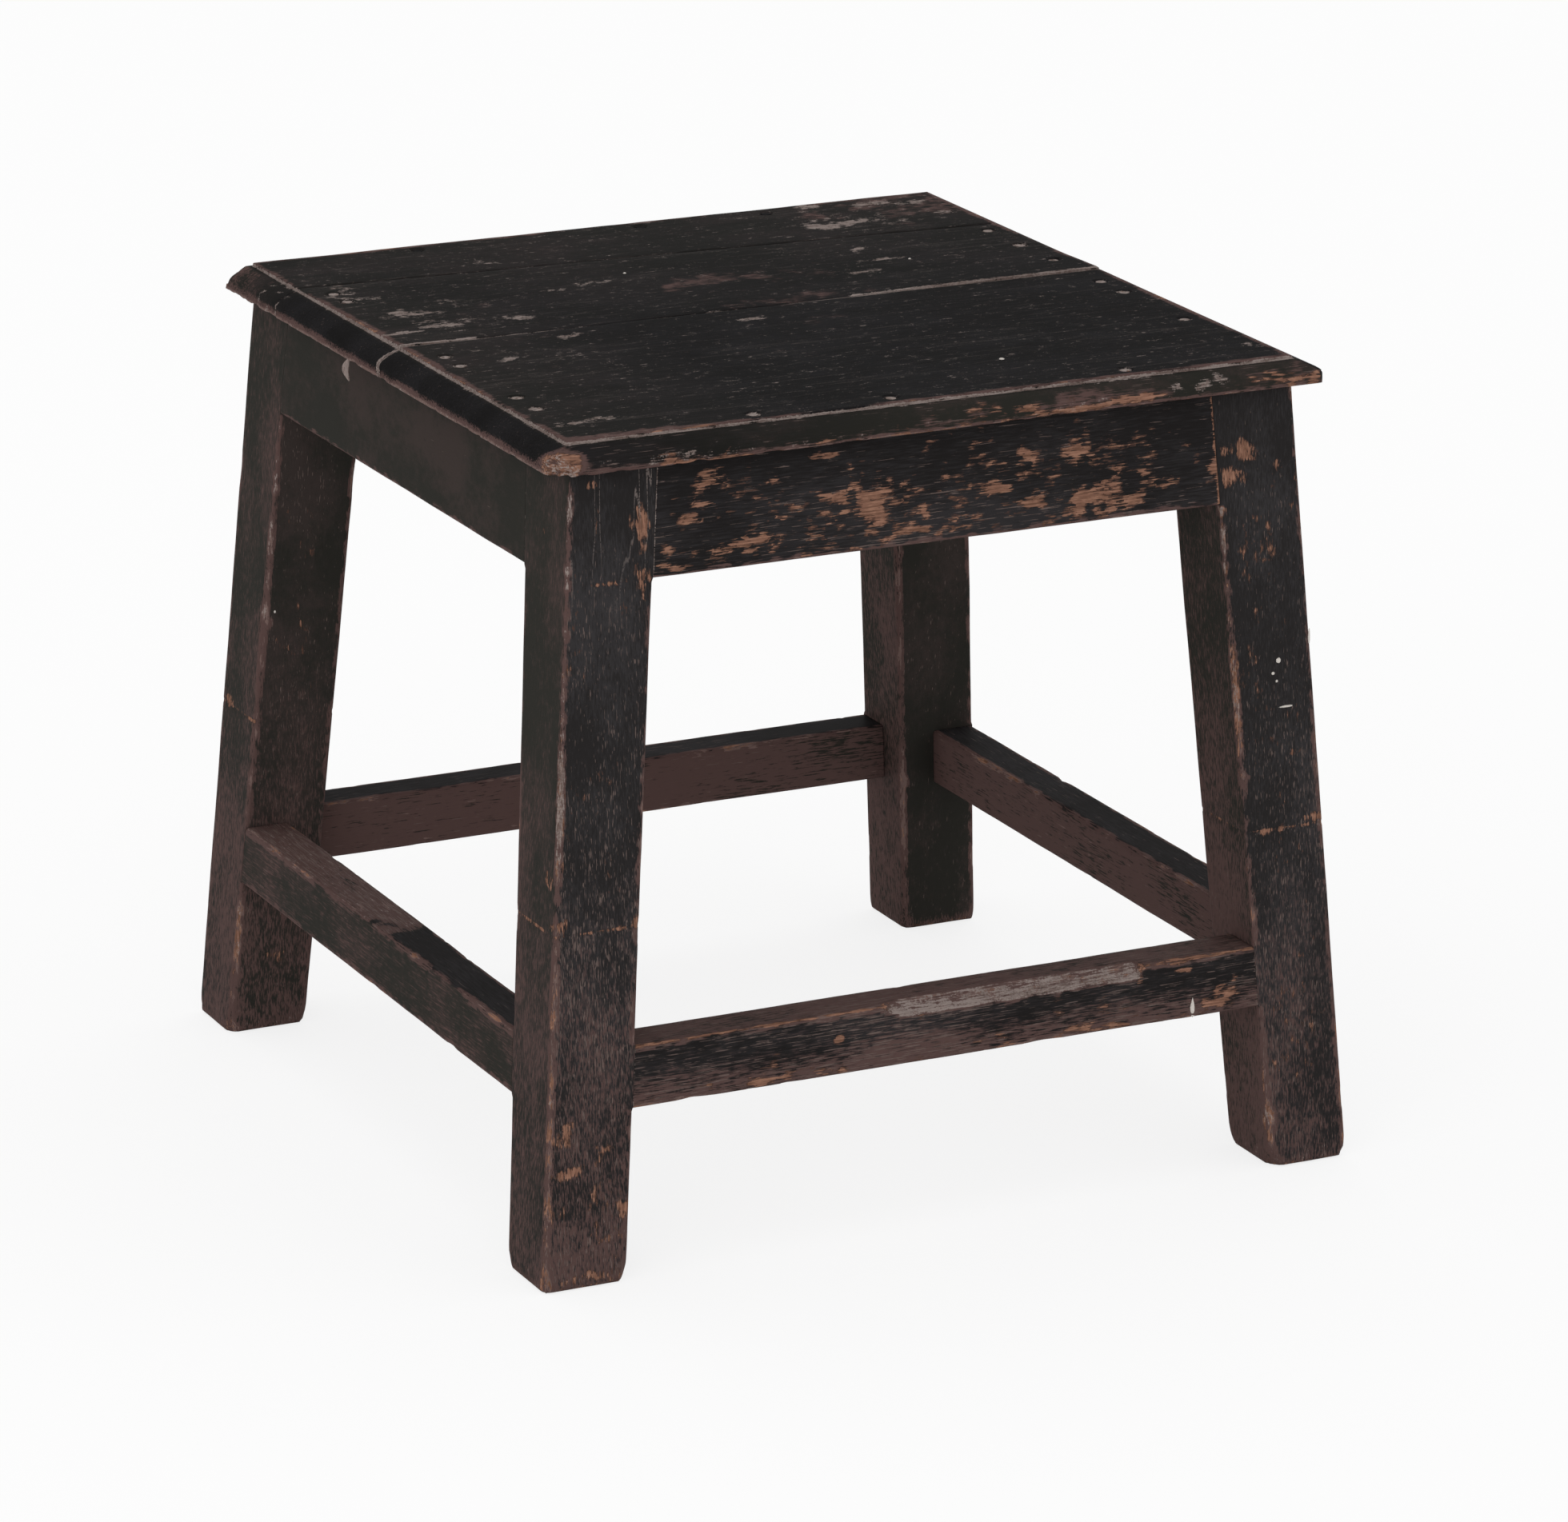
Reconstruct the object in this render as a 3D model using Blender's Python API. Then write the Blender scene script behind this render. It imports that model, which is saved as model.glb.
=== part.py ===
"""Square joined stool: a moulded seat of three boards on four splayed legs,
with aprons under the seat and a box of stretchers near the floor.

Metres, +Z up. X runs along the front, Y runs from front to back.
The origin is on the floor, under the middle of the seat."""

import math

import bmesh
import bpy
from mathutils import Vector

# Seat, lip to lip
SEAT_WIDTH = 0.400
SEAT_DEPTH = 0.404
SEAT_HEIGHT = 0.400

# Moulding round the seat, from the flat down to the underside
QUIRK_DROP = 0.0016
QUIRK_LEDGE = 0.0010
OVOLO_WIDTH = 0.0106
OVOLO_DROP = 0.0064
OVOLO_STEPS = 8
LIP_HEIGHT = 0.0040

# Seat boards: the main joint lies near the middle, the back board tapers
MAIN_JOINT_OFFSET = 0.002
BACK_BOARD_LEFT = 0.070
BACK_BOARD_RIGHT = 0.091
BOARD_GAP = 0.0006

# Legs: section at the seat and at the floor, and how far they stand out
LEG_WIDTH_TOP = 0.0435
LEG_WIDTH_FOOT = 0.0425
LEG_DEPTH_TOP = 0.0475
LEG_DEPTH_FOOT = 0.0410
SEAT_OVERHANG_X = 0.0124
SEAT_OVERHANG_Y = 0.0100
LEG_SPREAD_X = 0.0276
LEG_SPREAD_Y = 0.0264
LEG_ARRIS = 0.0020
FOOT_ARRIS = 0.0020

# Aprons and stretchers, flush with the outside of the legs
APRON_HEIGHT = 0.0555
APRON_THICKNESS = 0.0220
STRETCHER_HEIGHT = 0.0300
STRETCHER_THICKNESS = 0.0235
STRETCHER_RISE = 0.0830
RAIL_ARRIS = 0.0015

# Blind tenons on the aprons and stretchers
TENON_SETBACK = 0.0060
TENON_SHOULDER = 0.0050
MORTISE_SPACING = 0.0030

# Nails through the seat into the aprons; places run from -1 to 1 between the legs
NAIL_LENGTH = 0.0340
NAIL_RADIUS = 0.0012
NAIL_HEAD_RADIUS = 0.0025
NAIL_HEAD_THICKNESS = 0.0012
NAIL_POINT = 0.0060
NAIL_SINK = 0.0004
NAIL_SIDES = 12
NAILS_LEFT = (-0.92, -0.76, -0.30, -0.17, 0.68, 0.80)
NAILS_RIGHT = (-0.75, -0.32, -0.15, 0.20, 0.45, 0.70)
NAILS_FRONT = (-0.64, -0.14, 0.73)
NAILS_BACK = (-0.73, 0.14, 0.64)

# Gap between pieces that touch
FIT = 0.0003

SEAT_THICKNESS = LIP_HEIGHT + OVOLO_DROP + QUIRK_DROP
SEAT_UNDERSIDE = SEAT_HEIGHT - SEAT_THICKNESS
LEG_TOP = SEAT_UNDERSIDE - FIT
APRON_BOTTOM = LEG_TOP - APRON_HEIGHT

BLACK_PAINT = (0.022, 0.021, 0.020, 1.0)
RUBBED_PAINT = (0.035, 0.030, 0.026, 1.0)
BROWN_PAINT = (0.045, 0.030, 0.023, 1.0)
DUSTY_IRON = (0.180, 0.150, 0.125, 1.0)


def clear_scene():
    for thing in list(bpy.data.objects):
        bpy.data.objects.remove(thing, do_unlink=True)


def new_collection(name):
    collection = bpy.data.collections.new(name)
    bpy.context.scene.collection.children.link(collection)
    return collection


def new_material(name, colour, roughness, metallic=0.0):
    material = bpy.data.materials.new(name)
    material.use_nodes = True
    shader = material.node_tree.nodes["Principled BSDF"]
    shader.inputs["Base Color"].default_value = colour
    shader.inputs["Roughness"].default_value = roughness
    shader.inputs["Metallic"].default_value = metallic
    return material


def add_object(name, shape, origin, collection):
    """Make an object of a shape built in place, with its own origin there."""
    bmesh.ops.translate(shape, vec=-origin, verts=shape.verts)
    mesh = bpy.data.meshes.new(name)
    shape.to_mesh(mesh)
    shape.free()
    thing = bpy.data.objects.new(name, mesh)
    thing.location = origin
    collection.objects.link(thing)
    return thing


def add_part(name, shape, origin, material):
    part = add_object(name, shape, origin, PARTS)
    part.data.materials.append(material)
    return part


def add_cutter(name, shape, origin):
    cutter = add_object(name, shape, origin, CUTTERS)
    cutter.hide_render = True
    cutter.display_type = "WIRE"
    return cutter


def combine(part, other, operation):
    step = part.modifiers.new(other.name, "BOOLEAN")
    step.operation = operation
    step.object = other


def face_outwards(shape):
    shape.normal_update()
    bmesh.ops.recalc_face_normals(shape, faces=shape.faces)


def block(corner):
    """A six-sided solid whose corner (i, j, k), each 0 or 1, stands at corner(i, j, k)."""
    shape = bmesh.new()
    for vert in bmesh.ops.create_cube(shape, size=1.0)["verts"]:
        vert.co = corner(*(int(value > 0) for value in vert.co))
    face_outwards(shape)
    return shape


def ease(shape, edges, width):
    bmesh.ops.bevel(shape, geom=edges, offset=width, offset_type="OFFSET", affect="EDGES",
                    segments=2, profile=0.5, material=-1)


def between(top, foot, z):
    """A value that runs straight from the floor to the top of the legs, at height z."""
    return foot + (top - foot) * z / LEG_TOP


def leg_outside(axis, z):
    """Distance from the middle to the legs' outer face, along X (0) or Y (1)."""
    half = (SEAT_WIDTH / 2 - SEAT_OVERHANG_X, SEAT_DEPTH / 2 - SEAT_OVERHANG_Y)[axis]
    spread = (LEG_SPREAD_X, LEG_SPREAD_Y)[axis]
    return between(half, half + spread, z)


def leg_size(axis, z):
    if axis == 0:
        return between(LEG_WIDTH_TOP, LEG_WIDTH_FOOT, z)
    return between(LEG_DEPTH_TOP, LEG_DEPTH_FOOT, z)


def leg_inside(axis, z):
    return leg_outside(axis, z) - leg_size(axis, z)


def leg_shape(side_x, side_y):
    def corner(i, j, k):
        z = LEG_TOP if k else 0.0
        x = leg_outside(0, z) if i else leg_inside(0, z)
        y = leg_outside(1, z) if j else leg_inside(1, z)
        return Vector((side_x * x, side_y * y, z))

    shape = block(corner)
    upright = [e for e in shape.edges if abs(e.verts[0].co.z - e.verts[1].co.z) > LEG_TOP / 2]
    ease(shape, upright, LEG_ARRIS)
    foot = [e for e in shape.edges if max(v.co.z for v in e.verts) < LEG_TOP / 2]
    ease(shape, foot, FOOT_ARRIS)
    return shape


def rail_block(axis, side, low, high, reach, near, far):
    """A bar along X (0) or Y (1) between two legs. reach(z) is its half length;
    near and far are the depths of its faces behind the legs' outer face."""
    across = 1 - axis

    def corner(i, j, k):
        z = high if k else low
        spot = Vector((0.0, 0.0, z))
        spot[axis] = reach(z) if i else -reach(z)
        spot[across] = side * (leg_outside(across, z) - (far if j else near))
        return spot

    return block(corner)


def make_rail(name, axis, side, low, height, thickness, material):
    """A rail with a tenon at each end, and the cutter for its two mortises."""
    high = low + height
    wall = thickness - TENON_SETBACK + MORTISE_SPACING

    def shoulder(z):
        return leg_inside(axis, z) - FIT

    def mortise_end(z):
        return leg_outside(axis, z) - wall

    def tenon_end(z):
        return mortise_end(z) - FIT

    middle = Vector((0.0, 0.0, low + height / 2))
    middle[1 - axis] = side * (leg_outside(1 - axis, middle.z) - thickness / 2)

    shape = rail_block(axis, side, low, high, shoulder, 0.0, thickness)
    length = shoulder(low)
    ease(shape, [e for e in shape.edges if e.calc_length() > length], RAIL_ARRIS)
    rail = add_part(name, shape, middle, material)

    near = TENON_SETBACK
    far = thickness - TENON_SETBACK
    bottom = low + TENON_SHOULDER
    top = high - TENON_SHOULDER
    tongue = rail_block(axis, side, bottom, top, tenon_end, near, far)
    combine(rail, add_cutter("tenons_" + name, tongue, middle), "UNION")
    slot = rail_block(axis, side, bottom - FIT, top + FIT, mortise_end, near - FIT, far + FIT)
    return rail, add_cutter("mortises_" + name, slot, middle)


def seat_edge():
    """The moulding from the top of the lip up to the flat, as (inset from the lip, rise)."""
    for step in range(OVOLO_STEPS + 1):
        turn = math.pi / 2 * step / OVOLO_STEPS
        yield OVOLO_WIDTH * (1 - math.cos(turn)), OVOLO_DROP * math.sin(turn)
    yield OVOLO_WIDTH + QUIRK_LEDGE, OVOLO_DROP
    yield OVOLO_WIDTH + QUIRK_LEDGE, OVOLO_DROP + QUIRK_DROP


def seat_blank():
    """The whole seat: a slab as high as the lip, its top drawn in and up along the moulding."""
    lip_middle = Vector((0.0, 0.0, SEAT_UNDERSIDE + LIP_HEIGHT / 2))
    shape = bmesh.new()
    bmesh.ops.create_cube(shape, size=1.0)
    bmesh.ops.scale(shape, vec=(SEAT_WIDTH, SEAT_DEPTH, LIP_HEIGHT), verts=shape.verts)
    bmesh.ops.translate(shape, vec=lip_middle, verts=shape.verts)
    shape.normal_update()
    top = [face for face in shape.faces if face.normal.z > 0.5]
    points = list(seat_edge())
    for (inset, rise), (next_inset, next_rise) in zip(points, points[1:]):
        bmesh.ops.inset_region(shape, faces=top, thickness=next_inset - inset,
                               depth=next_rise - rise, use_even_offset=True, use_boundary=True)
    return shape


def trim(shape, left_y, right_y, keep):
    """Cut a board along the upright plane from left_y to right_y; keep is 1 for the back side."""
    left = Vector((-SEAT_WIDTH / 2, left_y, 0.0))
    right = Vector((SEAT_WIDTH / 2, right_y, 0.0))
    along = (right - left).normalized()
    behind = Vector((-along.y, along.x, 0.0))
    bmesh.ops.bisect_plane(shape, geom=shape.verts[:] + shape.edges[:] + shape.faces[:],
                           plane_co=left + behind * keep * BOARD_GAP / 2,
                           plane_no=behind * -keep, clear_outer=True)
    bmesh.ops.holes_fill(shape, edges=[e for e in shape.edges if e.is_boundary])


def make_boards(material):
    main = (MAIN_JOINT_OFFSET, MAIN_JOINT_OFFSET)
    back = (SEAT_DEPTH / 2 - BACK_BOARD_LEFT, SEAT_DEPTH / 2 - BACK_BOARD_RIGHT)
    cuts = {
        "seat_board_front": [(*main, -1)],
        "seat_board_middle": [(*main, 1), (*back, -1)],
        "seat_board_back": [(*back, 1)],
    }
    boards = []
    for name, trims in cuts.items():
        shape = seat_blank()
        for left_y, right_y, keep in trims:
            trim(shape, left_y, right_y, keep)
        face_outwards(shape)
        places = [v.co.y for v in shape.verts]
        origin = Vector((0.0, (min(places) + max(places)) / 2, SEAT_UNDERSIDE))
        boards.append(add_part(name, shape, origin, material))
    return boards


def turn_nail(grow, cap, spots):
    """Nails, or with grow the holes for them, turned about an upright line at each spot.
    cap is the height of the top above the head's own face."""
    head = SEAT_HEIGHT - NAIL_SINK
    point = head - NAIL_LENGTH - grow
    outline = [
        (0.0, head + cap),
        (NAIL_HEAD_RADIUS + grow, head + cap),
        (NAIL_HEAD_RADIUS + grow, head - NAIL_HEAD_THICKNESS - grow),
        (NAIL_RADIUS + grow, head - NAIL_HEAD_THICKNESS - grow),
        (NAIL_RADIUS + grow, point + NAIL_POINT),
        (0.0, point),
    ]
    shape = bmesh.new()
    for spot in spots:
        verts = [shape.verts.new((spot.x + r, spot.y, z)) for r, z in outline]
        edges = [shape.edges.new(pair) for pair in zip(verts, verts[1:])]
        bmesh.ops.spin(shape, geom=verts + edges, cent=spot, axis=(0.0, 0.0, 1.0),
                       angle=math.tau, steps=NAIL_SIDES, use_merge=True)
    bmesh.ops.remove_doubles(shape, verts=shape.verts, dist=1e-6)
    face_outwards(shape)
    return shape


def nail_spots():
    """Name and place of every nail, over the middle of the aprons' top edges."""
    rows = (("left", 1, -1, NAILS_LEFT), ("right", 1, 1, NAILS_RIGHT),
            ("front", 0, -1, NAILS_FRONT), ("back", 0, 1, NAILS_BACK))
    for row, axis, side, places in rows:
        for number, place in enumerate(places, start=1):
            spot = Vector((0.0, 0.0, 0.0))
            spot[axis] = place * (leg_inside(axis, LEG_TOP) - NAIL_HEAD_RADIUS)
            spot[1 - axis] = side * (leg_outside(1 - axis, LEG_TOP) - APRON_THICKNESS / 2)
            yield f"nail_{row}_{number}", spot


def make_nails(material):
    """The nails, and one cutter for all their holes."""
    spots = dict(nail_spots())
    for name, spot in spots.items():
        head = Vector((spot.x, spot.y, SEAT_HEIGHT - NAIL_SINK))
        nail = add_part(name, turn_nail(0.0, 0.0, [spot]), head, material)
        nail.data.shade_smooth()
        nail.data.set_sharp_from_angle(angle=math.radians(40))
    holes = turn_nail(FIT, NAIL_SINK + NAIL_HEAD_RADIUS, spots.values())
    return add_cutter("nail_holes", holes, Vector((0.0, 0.0, SEAT_HEIGHT)))


clear_scene()
PARTS = new_collection("joined_stool")
CUTTERS = new_collection("cutters")

seat_paint = new_material("black_paint_on_seat", BLACK_PAINT, 0.45)
leg_paint = new_material("black_paint_on_legs", RUBBED_PAINT, 0.50)
rail_paint = new_material("black_paint_on_rails", BROWN_PAINT, 0.50)
nail_iron = new_material("dusty_iron_nails", DUSTY_IRON, 0.70, 0.6)

boards = make_boards(seat_paint)

legs = {}
for end, side_y in (("front", -1), ("back", 1)):
    for hand, side_x in (("left", -1), ("right", 1)):
        foot = Vector((side_x * leg_outside(0, 0.0), side_y * leg_outside(1, 0.0), 0.0))
        legs[end, hand] = add_part(f"leg_{end}_{hand}", leg_shape(side_x, side_y), foot, leg_paint)

aprons = []
for place, axis, side in (("front", 0, -1), ("back", 0, 1), ("left", 1, -1), ("right", 1, 1)):
    apron, apron_slots = make_rail("apron_" + place, axis, side, APRON_BOTTOM, APRON_HEIGHT,
                                   APRON_THICKNESS, rail_paint)
    stretcher, stretcher_slots = make_rail("stretcher_" + place, axis, side, STRETCHER_RISE,
                                           STRETCHER_HEIGHT, STRETCHER_THICKNESS, rail_paint)
    aprons.append(apron)
    for key, leg in legs.items():
        if place in key:
            combine(leg, apron_slots, "DIFFERENCE")
            combine(leg, stretcher_slots, "DIFFERENCE")

nail_holes = make_nails(nail_iron)
for piece in boards + aprons:
    combine(piece, nail_holes, "DIFFERENCE")
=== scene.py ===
import math
import bmesh
import bpy
from mathutils import Matrix, Vector, noise


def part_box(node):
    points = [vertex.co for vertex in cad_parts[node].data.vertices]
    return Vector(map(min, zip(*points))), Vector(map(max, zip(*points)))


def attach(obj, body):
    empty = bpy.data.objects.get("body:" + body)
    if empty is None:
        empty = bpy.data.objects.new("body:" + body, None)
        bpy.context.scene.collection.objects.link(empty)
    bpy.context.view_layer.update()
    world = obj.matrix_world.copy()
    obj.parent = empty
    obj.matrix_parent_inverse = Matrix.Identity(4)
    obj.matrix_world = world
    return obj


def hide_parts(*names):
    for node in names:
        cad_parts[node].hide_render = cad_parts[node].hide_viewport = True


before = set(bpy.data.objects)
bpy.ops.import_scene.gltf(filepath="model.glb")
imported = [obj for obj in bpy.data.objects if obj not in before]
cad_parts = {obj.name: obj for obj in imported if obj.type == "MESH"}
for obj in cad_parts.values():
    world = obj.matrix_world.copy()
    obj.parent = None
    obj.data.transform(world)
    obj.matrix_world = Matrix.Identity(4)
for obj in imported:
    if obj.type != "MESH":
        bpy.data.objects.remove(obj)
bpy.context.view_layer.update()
MM = 0.001

# Legs: four square hardwood posts that splay outwards on both sides, sawn and planed by hand and
# painted black. Their arrises are rubbed down to the wood, the feet are scuffed round, and a thin
# band has been worn round three of them where something was once tied.
RING_SPACING = 2.0 * MM
PANEL_SPACING = 2.2 * MM
LONG_EDGE = 100 * MM
ARRIS_RADIUS = 1.6 * MM
FOOT_EASE = 2.5 * MM
FOOT_CORNERS = 4 * MM
WORN_BAND = 1.6 * MM
CHIP_EDGE = 0.9 * MM
FACE_DEPTH = 2.5 * MM
LEG_NAMES = ("front_left", "front_right", "back_left", "back_right")
LEG_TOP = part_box("leg_front_left")[1].z
INWARD = {"left": Vector((1, 0, 0)), "right": Vector((-1, 0, 0)), "front": Vector((0, 1, 0)),
          "back": Vector((0, -1, 0)), "under": Vector((0, 0, 1)), "top": Vector((0, 0, -1))}
# What every point tells of its wear: bare wood, rubbed paint, dust, dull film, scratched pores and checks.
LAYERS = ("bare", "rub", "dust", "film", "pores", "checks")

# Each leg's sides at the floor and at its top, read from the corners of its CAD mesh.
leg_sides = {}
for leg_name in LEG_NAMES:
    leg_points = [vert.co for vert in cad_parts["leg_" + leg_name].data.vertices]
    foot_ring = [point for point in leg_points if point.z < FOOT_CORNERS]
    top_ring = [point for point in leg_points if point.z > LEG_TOP - MM]
    leg_sides[leg_name] = [[[pick(point[axis] for point in ring) for ring in (foot_ring, top_ring)]
                            for pick in (min, max)] for axis in (0, 1)]


def leg_side(name, axis, end, z):
    """Where the low (0) or high (1) side of a leg lies along an axis, at height z."""
    foot, top = leg_sides[name][axis][end]
    return foot + (top - foot) * z / LEG_TOP


def squared_bar(corner):
    """A bar with rounded arrises from its eight corners: corner(side, level, end) places each of them."""
    bar = bmesh.new()
    bmesh.ops.create_cube(bar, size=1.0)
    long_edges = [edge for edge in bar.edges if edge.verts[0].co.z * edge.verts[1].co.z < 0]
    for vert in bar.verts:
        vert.co = corner(*[int(place > 0) for place in vert.co])
    bar.normal_update()
    bmesh.ops.recalc_face_normals(bar, faces=bar.faces)
    bmesh.ops.bevel(bar, geom=long_edges, offset=ARRIS_RADIUS, offset_type="OFFSET", segments=4,
                    profile=0.5, affect="EDGES", material=-1)
    return bar


def cut_up(bar, run, across):
    """Cuts a bar into short lengths and cuts its wide faces up as well, so that wear can bite into it."""
    long_edges = [edge for edge in bar.edges
                  if abs(edge.verts[0].co[run] - edge.verts[1].co[run]) > LONG_EDGE]
    length = sum(edge.calc_length() for edge in long_edges) / len(long_edges)
    bmesh.ops.subdivide_edges(bar, edges=long_edges, cuts=round(length / RING_SPACING), use_grid_fill=True)
    for axis in across:
        wide = [edge for edge in bar.edges
                if abs(edge.verts[0].co[axis] - edge.verts[1].co[axis]) > 2.5 * PANEL_SPACING]
        width = sum(edge.calc_length() for edge in wide) / len(wide)
        bmesh.ops.subdivide_edges(bar, edges=wide, cuts=round(width / PANEL_SPACING), use_grid_fill=True)


def whole(shape):
    """All the points, edges and faces of a shape."""
    return shape.verts[:] + shape.edges[:] + shape.faces[:]


def ripple(point, size, seed):
    """Smooth unevenness between about -1 and 1, with swells of the given size."""
    return noise.noise(point / size + Vector((seed, 1.7 * seed, 0.6 * seed)))


def fade(distance, reach):
    """1 at no distance, falling evenly to 0 at the reach."""
    return min(1.0, max(0.0, 1 - distance / reach))


SPOT_SWELL = 17 * MM
SPOT_FRET = 5 * MM
SPOT_EDGE = 1.2


def mark(along, up, spots):
    """How far a place on a face lies inside listed spots with wavering outlines, each given in
    millimetres as (along, up, half length, half height, strength)."""
    place = Vector((along, up, 0))
    sway, lift = [0.9 * ripple(place, SPOT_SWELL, seed) + 0.5 * ripple(place, SPOT_FRET, seed + 4)
                  for seed in (3.0, 11.0)]
    total = 0.0
    for spot_along, spot_up, half_length, half_height, strength in spots:
        reach = math.hypot((along / MM - spot_along) / half_length + sway,
                           (up / MM - spot_up) / half_height + lift)
        total = max(total, strength * (SPOT_EDGE - reach))
    return total


CHIP_LENGTH = 19 * MM
NIP_LENGTH = 6 * MM
KNOCK_LENGTH = 60 * MM


def knocks(line, seed):
    """How hard an arris has been knocked at a place along it: mostly slightly, with odd long chips."""
    chips = max(0, ripple(line, CHIP_LENGTH, seed + 20) - 0.28)
    nips = max(0, ripple(line, NIP_LENGTH, seed + 40) - 0.32)
    return max(0.25, 0.6 + 0.4 * ripple(line, KNOCK_LENGTH, seed) + 2.3 * chips + 0.8 * nips)


FACE_SWELL = 40 * MM
FACE_RIPPLE = 11 * MM
PATCH_LENGTH = 45 * MM
PATCH_BREAK = 9 * MM
RAG_SIZE = 6 * MM
RAG_DEPTH = 1.1 * MM
SAME_GAP = 0.05 * MM


def lay_wear(shape):
    """Gives a mesh its layers of wear, and returns a function that sets them at one point."""
    layers = {layer: shape.verts.layers.float.new(layer) for layer in LAYERS}

    def lay(vert, wear):
        """Sets a point's wear, with 0 in every layer that isn't given."""
        for layer in LAYERS:
            vert[layers[layer]] = wear.get(layer, 0.0)

    return lay


def weather(bar, run, gaps, seed, knock, coat):
    """Chips a bar's arrises, leaves its faces a little uneven and gives every point its layers of wear.
    gaps(point) tells how far in a point lies from each side. knock(arris, point, rough) tells how deep an
    arris is chipped in millimetres, or None where another piece lies flush against it and keeps it sharp.
    coat(facing, arris, point, worn, chipped) gives the layers: worn is how far the paint beside an arris is
    rubbed away, and chipped is 1 inside a chip."""
    lay = lay_wear(bar)
    for vert in bar.verts:
        point = vert.co.copy()
        gap = gaps(point)
        facing, beside = sorted(gap, key=gap.get)[:2]
        arris = frozenset((facing, beside))
        corner = gap[facing] + gap[beside]
        line = Vector((0, 0, point[run]))
        line_seed = seed + 3.1 * sum(list(INWARD).index(side) for side in arris)
        depth = knock(arris, point, knocks(line, line_seed))
        chip = MM * (depth or 0.0)
        if depth is None:
            vert.co -= INWARD[facing] * gap[facing]
            if gap[beside] - gap[facing] < SAME_GAP:
                vert.co -= INWARD[beside] * gap[beside]
        elif corner < chip:
            vert.co += (INWARD[facing] + INWARD[beside]) * (chip - corner) / 2
        swell = 0.20 * ripple(point, FACE_SWELL, seed) + 0.06 * ripple(point, FACE_RIPPLE, seed + 5)
        vert.co += vert.normal * MM * swell
        patchy = 0.62 + 0.6 * ripple(line, PATCH_LENGTH, line_seed + 9)
        patchy += 0.4 * ripple(line, PATCH_BREAK, line_seed + 17)
        ragged = corner - chip + RAG_DEPTH * ripple(point, RAG_SIZE, seed + 23)
        worn = 0.0 if depth is None else fade(ragged, WORN_BAND) * min(1.0, max(0.0, patchy))
        chipped = 0.0 if depth is None else fade(corner - chip, CHIP_EDGE)
        lay(vert, coat(facing if gap[facing] < FACE_DEPTH else "", arris, point, worn, chipped))


def finish_piece(shape, name, material, slot, *nodes):
    """Makes the finished mesh a piece that rides on the stool and stands for its CAD nodes, if any."""
    shape.normal_update()
    mesh = bpy.data.meshes.new(name)
    shape.to_mesh(mesh)
    shape.free()
    mesh.shade_smooth()
    mesh.materials.append(material)
    piece = bpy.data.objects.new(name, mesh)
    bpy.context.scene.collection.objects.link(piece)
    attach(piece, "root")
    if nodes:
        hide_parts(*nodes)


def linear(colour):
    """An sRGB hex colour as linear red, green and blue, with full alpha."""
    parts = [int(colour[start:start + 2], 16) / 255 for start in (1, 3, 5)]
    parts = [part / 12.92 if part <= 0.04045 else ((part + 0.055) / 1.055) ** 2.4 for part in parts]
    return (*parts, 1.0)


def add(tree, kind, settings, inputs):
    """Adds one node with its settings, and sets or links its inputs."""
    made = tree.nodes.new(kind)
    for setting, value in settings.items():
        setattr(made, setting, value)
    for socket, value in inputs.items():
        if isinstance(value, bpy.types.NodeSocket):
            tree.links.new(value, made.inputs[socket])
        else:
            made.inputs[socket].default_value = value
    return made


# Old black oil paint, brushed on hardwood: nearly black and dull, going brown where hands and boots rub it
# thin, scuffed pinkish grey on the arrises, broken to crisp ragged flakes of bare wood, and with pale dust
# in its scratches and corners. A lighter mottled tone laid over the black is a painted sheen.
PAINT_BLACK = linear("#1f1d1d")
PAINTED_SHEEN = linear("#2d2b2c")
PAINT_FILM = linear("#2b2a26")
PAINT_FILM_BROWN = linear("#3a322f")
PAINT_THIN = linear("#53413e")
PAINT_UNDER = linear("#4b3831")
PAINT_SCUFFED = linear("#6b5853")
SCRATCH_PALE = linear("#675954")
WOOD_DARK = linear("#614639")
WOOD_MID = linear("#7d5b4c")
WOOD_PALE = linear("#98725f")
DUST_DARK = linear("#62544f")
DUST_PALE = linear("#8b7f7a")
SLIVER_ACROSS = 0.9
SLIVER_ALONG = 4.0

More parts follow.
